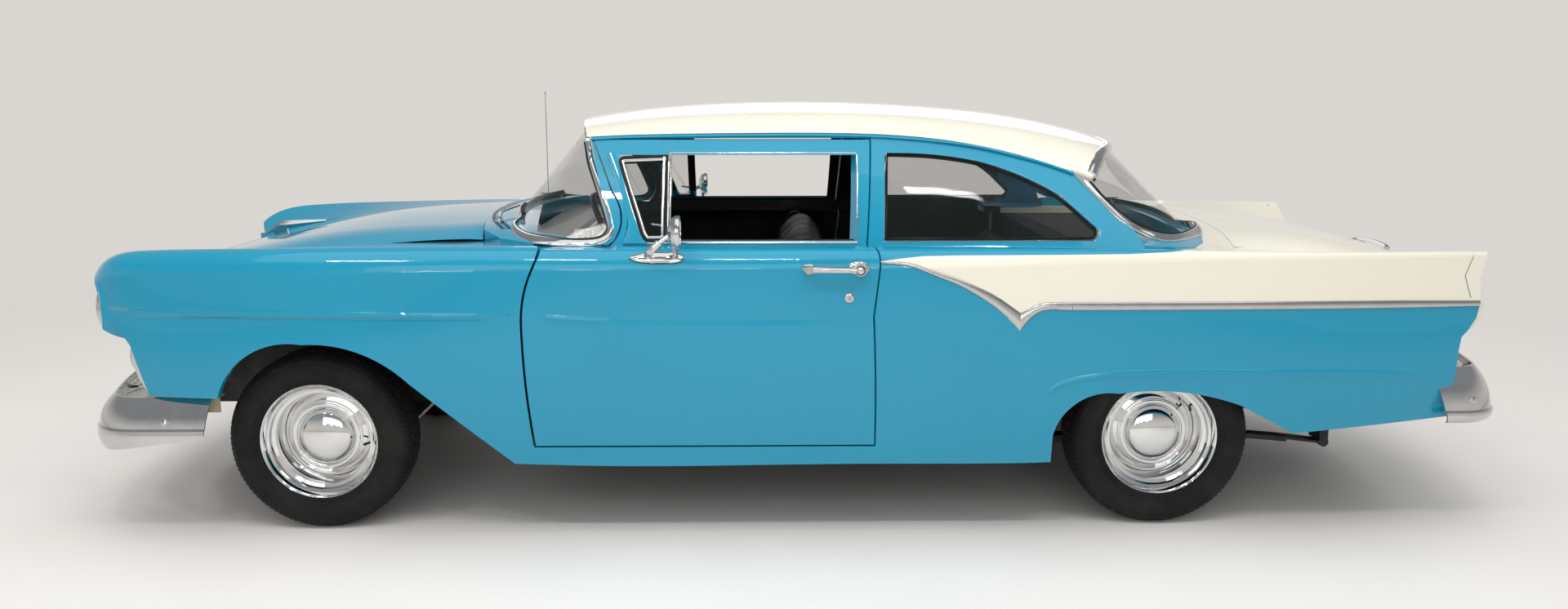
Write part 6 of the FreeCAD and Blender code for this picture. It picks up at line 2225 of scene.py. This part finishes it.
@dataclass
class BenchSeat(Assembly):
    """One bench: a filled cushion and backrest with sewn channels, piping, base and bright ends."""

    name: str
    front: float
    back: float
    floor: float
    seat: float
    top: float
    half: float
    inset: float = 0.016
    thick: float = 0.075

    def build(self) -> None:
        """Make the bench's pieces."""
        base = self.seat - 0.140
        cushion = [(self.back + 0.075, base + 0.006), (self.front - 0.050, base + 0.006),
            (self.front - 0.022, self.seat - 0.075), (self.front - 0.035, self.seat - 0.036),
            (self.front - 0.080, self.seat - 0.020), (self.back + 0.200, self.seat - 0.040),
            (self.back + 0.090, self.seat - 0.060)]
        rest = [(self.back + 0.020, base + 0.02), (self.back + 0.095, base + 0.02),
            (self.back + 0.094, self.seat - 0.05), (self.back + 0.066, self.seat + 0.18),
            (self.back + 0.036, self.top - 0.090), (self.back + 0.004, self.top - 0.028),
            (self.back - 0.030, self.top - 0.010), (self.back - 0.040 - self.thick / 2, self.top - 0.016),
            (self.back - 0.046 - self.thick, self.top - 0.080),
            (self.back - 0.010 - self.thick, self.seat + 0.18)]
        for part, profile, low in (("cushion", cushion, base), ("backrest", rest, base + 0.01)):
            item = self.piece("%s_%s" % (self.name, part), self._pad(profile), Look.VINYL,
                replaces=[self.name] if part == "cushion" else [])
            puffed(item, 0.018, 0.022, low)
            channelled(item, 0.172, 0.004)
            item.data.materials.clear()
            item.data.materials.append(self.shop.finishes["vinyl"].material())
        self._piping()
        self._base(base)

    def _pad(self, profile: Sequence[Flat]) -> Shape:
        """Return a crowned form: the profile drawn in towards both ends and between its corners.

        Args:
            profile: Its side, along the car and in height.

        Returns:
            The closed form.
        """
        ring = spaced(rounded_loop(profile, [0.02] * len(profile)), 0.02)
        middle_x = sum(p[0] for p in ring) / len(ring)
        middle_z = sum(p[1] for p in ring) / len(ring)
        rows = []
        for i in range(-36, 37):
            share = math.sin(i / 36 * math.pi / 2)
            y = share * (self.half - self.inset)
            pull = 1.0 - 0.14 * abs(share) ** 16
            crown = 1.0 - 0.012 * math.cos(share * math.pi)
            rows.append([self.car.at(middle_x + (x - middle_x) * pull * crown, y, middle_z + (z - middle_z)
                * pull) for x, z in ring])
        return grid(rows, closed_rows=True, caps=True)

    def _piping(self) -> None:
        """Sew piping round the cushion's top edge and round the backrest's ends."""
        car = self.car
        shape = Shape()
        half = self.half - 0.022
        edge = [(self.front - 0.020, -half), (self.front - 0.014, 0.0), (self.front - 0.020, half)]
        run = smooth_run([car.at(x, y, self.seat - 0.062) for x, y in edge], 12)
        shape.add(tube(run, 0.0045, 10))
        for _, sign in SIDES:
            side = [(self.front - 0.020, self.seat - 0.062), (self.front - 0.060, self.seat - 0.026),
                (self.back + 0.300, self.seat - 0.040), (self.back + 0.130, self.seat - 0.058)]
            shape.add(tube(smooth_run([car.at(x, sign * half, z) for x, z in side], 8), 0.0045, 10))
            up = [(self.back + 0.090, self.seat + 0.02), (self.back + 0.060, self.seat + 0.18),
                (self.back + 0.020, self.top - 0.070), (self.back - 0.010, self.top - 0.034),
                (self.back - 0.040, self.top - 0.044)]
            shape.add(tube(smooth_run([car.at(x, sign * half, z) for x, z in up], 8), 0.0045, 10))
        self.piece(self.name + "_piping", shape, Look.PIPING)

    def _base(self, base: float) -> None:
        """Make the bench's plinths, its side plates and the hinge buttons on them.

        Args:
            base: The height of the cushion's underside.
        """
        car = self.car
        plinths = Shape()
        for _, sign in SIDES:
            near, far = 0.190, self.half - 0.060
            outline = rounded_loop([(self.front - 0.075, self.floor + 0.002), (self.front - 0.055, base),
                (self.back + 0.110, base), (self.back + 0.120, self.floor + 0.002)], [0.012] * 4)
            plinths.add(slab([car.at(x, sign * near, z) for x, z in outline],
                Vector((0, sign * (far - near), 0))))
        self.piece(self.name + "_plinths", plinths, Look.CHASSIS, bevel=0.004)
        plates, buttons = Shape(), Shape()
        for _, sign in SIDES:
            outline = rounded_loop([(self.back + 0.030, base + 0.010), (self.back + 0.190, base + 0.010),
                (self.back + 0.150, self.seat - 0.030), (self.back + 0.080, self.seat + 0.090),
                (self.back + 0.040, self.seat + 0.090)], [0.02] * 5)
            plates.add(slab([car.at(x, sign * (self.half - 0.012), z) for x, z in outline],
                Vector((0, sign * 0.008, 0))))
            spot = car.at(self.back + 0.085, sign * (self.half - 0.004), self.seat - 0.030)
            buttons.add(bolt_shape(spot, Vector((0, sign, 0)), 0.014, 0.006))
        self.piece(self.name + "_side_plates", plates, Look.SATIN, bevel=0.0015)
        self.piece(self.name + "_hinge_buttons", buttons, Look.CHROME)


@dataclass
class DriverControls(Assembly):
    """The steering wheel's horn ring, grip and hub, the column, its levers and the pedals."""

    centre: Point = (-1.018, 0.372, 0.9581)
    axis: Point = (-0.871, 0.0, 0.491)

    def build(self) -> None:
        """Make the driver's controls."""
        car = self.car
        centre, axis = car.at(*self.centre), Vector(self.axis).normalized()
        up = axis.cross(LEFT).normalized()
        if up.z < 0:
            up = -up
        ring = [centre + axis * 0.012 + LEFT * (0.118 * math.cos(t)) + up * (0.118 * math.sin(t))
            for t in (math.pi * (1.08 + 0.84 * i / 24) for i in range(25))]
        horn = tube(ring, 0.0042, 12)
        for end in (ring[0], ring[-1]):
            horn.add(tube([end, centre + axis * 0.020 + (end - centre).normalized() * 0.030], 0.0042, 12))
        self.piece("horn_ring", horn, Look.CHROME, "steering_wheel")
        hub = mm((36, 18), (36.5, 24), (34, 31), (26, 36), (18, 37.5), (17, 35.5), tip=38)
        self.piece("horn_button", turned(hub, centre, axis, 48), Look.CHROME, "steering_wheel", angle=50)
        grips = Shape()
        for k in range(48):
            turn = math.radians(200 + 140 * k / 47)
            spot = centre + LEFT * (0.205 * math.cos(turn)) + up * (0.205 * math.sin(turn))
            grips.add(turned(mm((11.8, -1.2), (12.6, 0), (11.8, 1.2)), spot,
                (LEFT * -math.sin(turn) + up * math.cos(turn)), 16))
        self.piece("wheel_grip_ribs", grips, Look.BLACK, "steering_wheel")
        shroud = turned(mm((33, 0), (34, 10), (30, 45), (29, 150)), centre - axis * 0.030, -axis, 40)
        self.piece("column_shroud", shroud, Look.DASH, angle=50)
        levers, knobs = Shape(), Shape()
        root = centre - axis * 0.062
        for way, reach in ((1.0, 0.150), (-1.0, 0.165)):
            tip = root + LEFT * (way * reach) + up * 0.028 + axis * 0.010
            levers.add(tube([root + LEFT * way * 0.028, tip], 0.0038, 12))
            knobs.add(turned(mm((6, -6), (10, 0), (10.5, 10), (7, 18), tip=20), tip, LEFT * way, 24))
        self.piece("signal_and_gear_levers", levers, Look.CHROME)
        self.piece("lever_knobs", knobs, Look.BLACK)
        self._pedals()

    def _pedals(self) -> None:
        """Make the pedals' arms and their ribbed rubber pads."""
        car = self.car
        arms, pads = Shape(), Shape()
        for y, wide in ((0.50, 0.040), (0.375, 0.050), (0.245, 0.028)):
            arms.add(
                tube(smooth_run([car.at(-0.632, y, 0.700), car.at(-0.680, y, 0.600),
                car.at(-0.735, y, 0.470)], 5), 0.007, 12))
            face = car.at(-0.742, y, 0.462)
            lean = Vector((-0.80, 0, 0.60))
            rise = Vector((0.60, 0, 0.80))
            for rib in range(5):
                base = face + rise * (0.012 * (rib - 2))
                pads.add(slab([base + Vector((0, a, 0)) + rise * b for a, b in oblong(wide, 0.0045)],
                    lean * 0.008))
            pads.add(
                slab([face - lean * 0.004 + Vector((0, a, 0)) + rise * b for a, b in oblong(wide, 0.032)],
                lean * 0.005))
        self.piece("pedal_arms", arms, Look.STEEL)
        self.piece("pedal_pads", pads, Look.SEAL, bevel=0.001)


@dataclass
class Dashboard(Assembly):
    """Dials, wireless, glove box, knobs and the bright strip on the dash."""

    dials: tuple[tuple[float, float, float], ...] = ((0.455, 0.958, 0.034), (0.289, 0.958, 0.034),
        (0.205, 0.955, 0.026))

    def _face(self, y: float, z: float) -> tuple[Vector, Vector]:
        """Touch the dash's face at y and z, from the seat."""
        return self.car.touch(self.car.at(-1.3, y, z), FORWARD, "dash")

    def build(self) -> None:
        """Make the dash's pieces."""
        car = self.car
        for i, (y, z, radius) in enumerate(self.dials):
            spot, _ = self._face(y, z)
            dial = turned([(radius, -0.002), (radius, 0.004), (radius - 0.004, 0.005), (TIP, 0.005)], spot,
                BACK, 48)
            self.piece("dial_%d" % i, dial, Look.DIAL, angle=50)
            bezel = turned([(radius + 0.006, -0.002), (radius + 0.006, 0.006), (radius + 0.003, 0.010),
                (radius - 0.001, 0.010), (radius - 0.002, 0.005)], spot, BACK, 64)
            self.piece("dial_bezel_%d" % i, bezel, Look.CHROME, angle=50)
            marks = Shape()
            for k in range(13):
                turn = math.radians(-30 + 240 * k / 12)
                way = Vector((0, math.cos(turn), math.sin(turn)))
                side = BACK.cross(way)
                root = spot + BACK * 0.0052 + way * (radius * 0.80)
                marks.add(
                    slab([root + side * a + way * b for a, b in ((-0.0008, -0.006), (0.0008, -0.006),
                    (0.0008, 0.0), (-0.0008, 0.0))], BACK * 0.0005))
            marks.add(slab([spot + BACK * 0.0065 + Vector((0, a * 0.6 + b * 0.8, -a * 0.8 + b * 0.6))
                for a, b in ((-0.0015, -0.01), (0.0015, -0.01), (0.0004, radius * 0.75),
                (-0.0004, radius * 0.75))], BACK * 0.0008))
            self.piece("dial_marks_%d" % i, marks, Look.BLACK)
        knobs = Shape()
        for y in (0.60, 0.66, 0.12, 0.055, -0.055, -0.12):
            spot, _ = self._face(y, 0.905)
            knobs.add(turned(mm((6, -2), (6, 8), (11, 11), (12, 18), (9, 22), tip=23), spot, BACK, 28))
        self.piece("dash_knobs", knobs, Look.CHROME, angle=45)
        grille = Shape()
        for k in range(13):
            spot, _ = self._face(-0.085 + 0.014 * k, 0.960)
            grille.add(slab([spot + Vector((0.002, a, b)) for a, b in oblong(0.003, 0.022)], BACK * 0.006))
        self.piece("speaker_bars", grille, Look.SATIN, bevel=0.001)
        strip, outs = zip(*[self._face(y, 0.985) for y in [-0.70 + 0.05 * i for i in range(29)]])
        self.piece("dash_strip", swept(strip, outs, bead_section(0.012, 0.004)), Look.CHROME)
        lid = rounded_loop(mm((-600, 890), (-260, 890), (-260, 965), (-600, 965)), [0.012] * 4)
        spot, _ = self._face(-0.43, 0.93)
        self.piece("glove_box_lid", slab([Vector((spot.x + 0.001, y, z)) for y, z in lid], BACK * 0.006),
            Look.DASH, bevel=0.002)
        lock = turned(mm((9, 4), (9, 9), (7, 11), tip=11), self._face(-0.43, 0.95)[0], BACK, 28)
        self.piece("glove_box_lock", lock, Look.CHROME)


@dataclass
class Headlining(Assembly):
    """What hangs from the roof inside: interior mirror, visors, dome lamp and headliner bows."""

    def _under(self, x: float, y: float) -> Vector:
        """Return the place on the roof's underside at x and y."""
        return self.car.touch(self.car.at(x, y, 1.05), UP, "roof")[0]

    def build(self) -> None:
        """Make the pieces under the roof."""
        car = self.car
        foot = self._under(-0.905, 0.0)
        stem = smooth_run([foot, foot + Vector((-0.030, 0, -0.030)), foot + Vector((-0.050, 0, -0.066))], 5)
        self.piece("inside_mirror_stem", tube(stem, 0.006, 14), Look.CHROME)
        middle = stem[-1] + Vector((-0.010, 0, -0.008))
        outline = rounded_loop(mm((-105, -26), (105, -26), (118, 0), (105, 26), (-105, 26), (-118, 0)),
            [0.02] * 6)
        shell = [middle + Vector((0, a, b)) for a, b in outline]
        self.piece("inside_mirror_shell", slab(shell, Vector((0.014, 0, 0))), Look.CHROME, bevel=0.004)
        glass = [middle + Vector((-0.0002, a * 0.96, b * 0.9)) for a, b in outline]
        self.piece("inside_mirror_glass", slab(glass, Vector((-0.001, 0, 0))), Look.MIRROR)
        for hand, sign in SIDES:
            rows, tops = [], []
            for i in range(13):
                line, top = [], []
                for k in range(17):
                    edge = min(1.0, min(i, 12 - i, k, 16 - k) / 2)
                    spot = self._under(-0.945 - 0.150 * i / 12, sign * (0.10 + 0.44 * k / 16)) + DOWN * (0.008
                        + 0.009 * edge)
                    line.append(spot)
                    top.append(spot + Vector((0, 0, 0.006 + 0.010 * edge)))
                rows.append(line)
                tops.append(top)
            self.piece("sun_visor_" + hand, grid(rows).add(grid(tops)), Look.CARD, angle=70)
        bows = Shape()
        for x in (-1.28, -1.56, -1.84, -2.12, -2.38):
            run = [self._under(x, -0.56 + 0.07 * k) + DOWN * 0.003 for k in range(17)]
            bows.add(tube(run, 0.004, 8))
        self.piece("headliner_bows", bows, Look.CARD)
        spot = self._under(-1.72, 0.0)
        lens = turned(mm((50, 0), (49, 10), (40, 17), tip=20), spot, DOWN, 48)
        self.piece("dome_lamp_glass", lens, Look.SMALL_LAMP, angle=60)
        ring = turned(mm((49.5, 0), (58, 1), (57.5, 7), (50, 9)), spot, DOWN, 48)
        self.piece("dome_lamp_ring", ring, Look.CHROME, angle=60)


# ------------------------------------------------------------------ engine bay, trunk and underside
@dataclass
class EngineBay(Assembly):
    """What shows round the plain engine block when the hood is up."""

    top: float = 0.880

    def build(self) -> None:
        """Make the engine bay's pieces."""
        car = self.car
        for hand, sign in SIDES:
            outline = rounded_loop(mm((200, 120), (200, 225), (-420, 225), (-420, 120)), [0.02] * 4)
            cover = slab([car.at(x, sign * y, self.top - 0.002) for x, y in outline], UP * 0.030)
            for k in range(5):
                x = 0.160 - 0.135 * k
                cover.add(block(car.at(x - 0.004, sign * 0.172 - 0.045, self.top + 0.026),
                    car.at(x + 0.004, sign * 0.172 + 0.045, self.top + 0.032)))
            self.piece("valve_cover_" + hand, cover, Look.CREAM, bevel=0.006)
        cleaner = rounded_profile(mm((60, 0), (60, 4), (118, 6), (122, 16), (118, 36), (100, 40), (12, 42),
            (10, 46)), 0.004)
        self.piece("air_cleaner", turned(cleaner + [(TIP, 0.047)], car.at(-0.110, 0, self.top), UP, 64),
            Look.ENAMEL, angle=50)
        fan = Shape()
        hub = car.at(0.300, 0, 0.640)
        fan.add(turned([(TIP, -0.040), (0.050, -0.038), (0.052, 0.0), (0.040, 0.006), (TIP, 0.008)], hub,
            FORWARD, 32))
        for k in range(4):
            turn = math.pi / 2 * k + 0.4
            way = Vector((0, math.cos(turn), math.sin(turn)))
            side = FORWARD.cross(way)
            rows = []
            for i in range(9):
                r = 0.045 + 0.155 * i / 8
                wide = 0.030 + 0.020 * i / 8
                rows.append([hub + way * r + side * (wide * t) + FORWARD * (0.016 * t * (1 + 0.3 * t * t))
                    for t in (-1.0, -0.5, 0.0, 0.5, 1.0)])
            fan.add(grid(rows)).add(grid([[p - FORWARD * 0.0025 for p in row] for row in rows]))
        self.piece("cooling_fan", fan, Look.CHASSIS, angle=50)
        fins = Shape()
        for k in range(44):
            y = -0.235 + 0.0109 * k
            fins.add(block(car.at(0.4165, y - 0.0012, 0.500), car.at(0.4205, y + 0.0012, 0.840)))
        self.piece("radiator_fins", fins, Look.CHASSIS)
        cap = rounded_profile(mm((30, 0), (31, 8), (28, 14), (10, 17)), 0.003)
        face, _ = car.touch(car.at(0.450, 0.10, 1.05), DOWN, "radiator")
        self.piece("radiator_cap", turned(cap + [(TIP, 0.018)], face, UP, 40), Look.CHROME, angle=50)
        hose = smooth_run([car.at(0.255, 0.05, 0.820), car.at(0.310, 0.06, 0.832), car.at(0.370, 0.09, 0.826),
            car.at(0.424, 0.10, 0.815)], 8)
        self.piece("upper_hose", tube(hose, 0.022, 20), Look.SEAL)
        clips = Shape()
        for a, b in ((hose[2], hose[3]), (hose[-4], hose[-3])):
            clips.add(turned(mm((22.2, -6), (24, -5), (24, 5), (22.2, 6)), a, (b - a).normalized(), 28))
        self.piece("hose_clips", clips, Look.STEEL)
        self._battery()

    def _battery(self) -> None:
        """Make the battery on its tray with its caps and posts."""
        car = self.car
        low, high = car.at(-0.560, -0.560, 0.560), car.at(-0.360, -0.390, 0.745)
        self.piece("battery_case", block(low, high), Look.BLACK, bevel=0.006)
        caps = Shape()
        for k in range(6):
            spot = Vector((low.x + 0.020 + 0.032 * k, (low.y + high.y) / 2, high.z))
            caps.add(turned(mm((11, -2), (11, 6), (8, 9), tip=9), spot, UP, 24))
        self.piece("battery_caps", caps, Look.SEAL)
        posts = Shape()
        for x in (low.x + 0.025, high.x - 0.025):
            posts.add(turned(mm((9, -2), (8, 14), (6, 16), tip=16), Vector((x, high.y - 0.030, high.z)), UP,
                20))
        self.piece("battery_posts", posts, Look.STEEL)
        tray = rounded_loop(mm((-578, -578), (-342, -578), (-342, -372), (-578, -372)), [0.012] * 4)
        shape = slab([car.at(x, y, 0.5585) for x, y in tray], Vector((0, 0, -0.006)))
        shape.add(tube([car.at(-0.460, -0.475, 0.556), car.at(-0.460, -0.475, 0.500),
            car.at(-0.612, -0.475, 0.470)], 0.010, 12))
        self.piece("battery_tray", shape, Look.CHASSIS, bevel=0.002)


@dataclass
class Underside(Assembly):
    """Bolts on the rear axle's cover, and the trunk's mat."""

    def build(self) -> None:
        """Make the underside's pieces."""
        car = self.car
        mat = []
        for i in range(49):
            y = -0.44 + 0.88 * i / 48
            mat.append([car.top(-2.72 - 0.1 * k, y, "trunk_floor")[0]
                + Vector((0, 0, 0.003 + 0.002 * (i % 2))) for k in range(11)])
        flat = [[p - Vector((0, 0, 0.0025)) for p in row] for row in mat]
        self.piece("trunk_mat", grid(mat).add(grid(flat)), Look.CARPET)
        bolts = Shape()
        for k in range(10):
            turn = 2 * math.pi * k / 10
            aim = car.at(-3.6, 0.088 * math.cos(turn), 0.318 + 0.088 * math.sin(turn))
            spot, normal = car.touch(aim, FORWARD, "rear_axle")
            if abs(normal.x) > 0.5 and spot.x < car.axle_x - 2.9:
                bolts.add(hex_shape(spot, BACK, 0.014, 0.006))
        self.piece("axle_cover_bolts", bolts, Look.STEEL)


def main() -> None:
    """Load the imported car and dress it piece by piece."""
    logging.basicConfig(level=logging.INFO, format="%(message)s")
    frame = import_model()
    car = CarFrame(frame)
    Studio().build(car)
    shop = Workshop(car)
    parts: list[Assembly] = [BodyShell(shop), SideSpear(shop), Surrounds(shop), WindowFrames(shop),
        PressedLines(shop)]
    for place, x, y in (("front", 0.0, 0.750), ("rear", -2.946, 0.748)):
        parts += [RoadWheel(shop, place, hand, x, y) for hand, _ in SIDES]
    parts += [DoorDress(shop, "left"), DoorDress(shop, "right"), FrontEnd(shop), RearEnd(shop),
        CowlDress(shop)]
    parts += [
        BenchSeat(shop, "front_bench", front=-1.110, back=-1.680, floor=0.282, seat=0.560, top=1.000,
            half=0.690),
        BenchSeat(shop, "rear_bench", front=-2.160, back=-2.540, floor=0.412, seat=0.590, top=0.930,
            half=0.620, thick=0.02),
    ]
    parts += [DriverControls(shop), Dashboard(shop), Headlining(shop), EngineBay(shop), Underside(shop)]
    for part in parts:
        part.build()
    LOG.info("%d pieces added", shop.count)


if __name__ == "__main__":
    main()
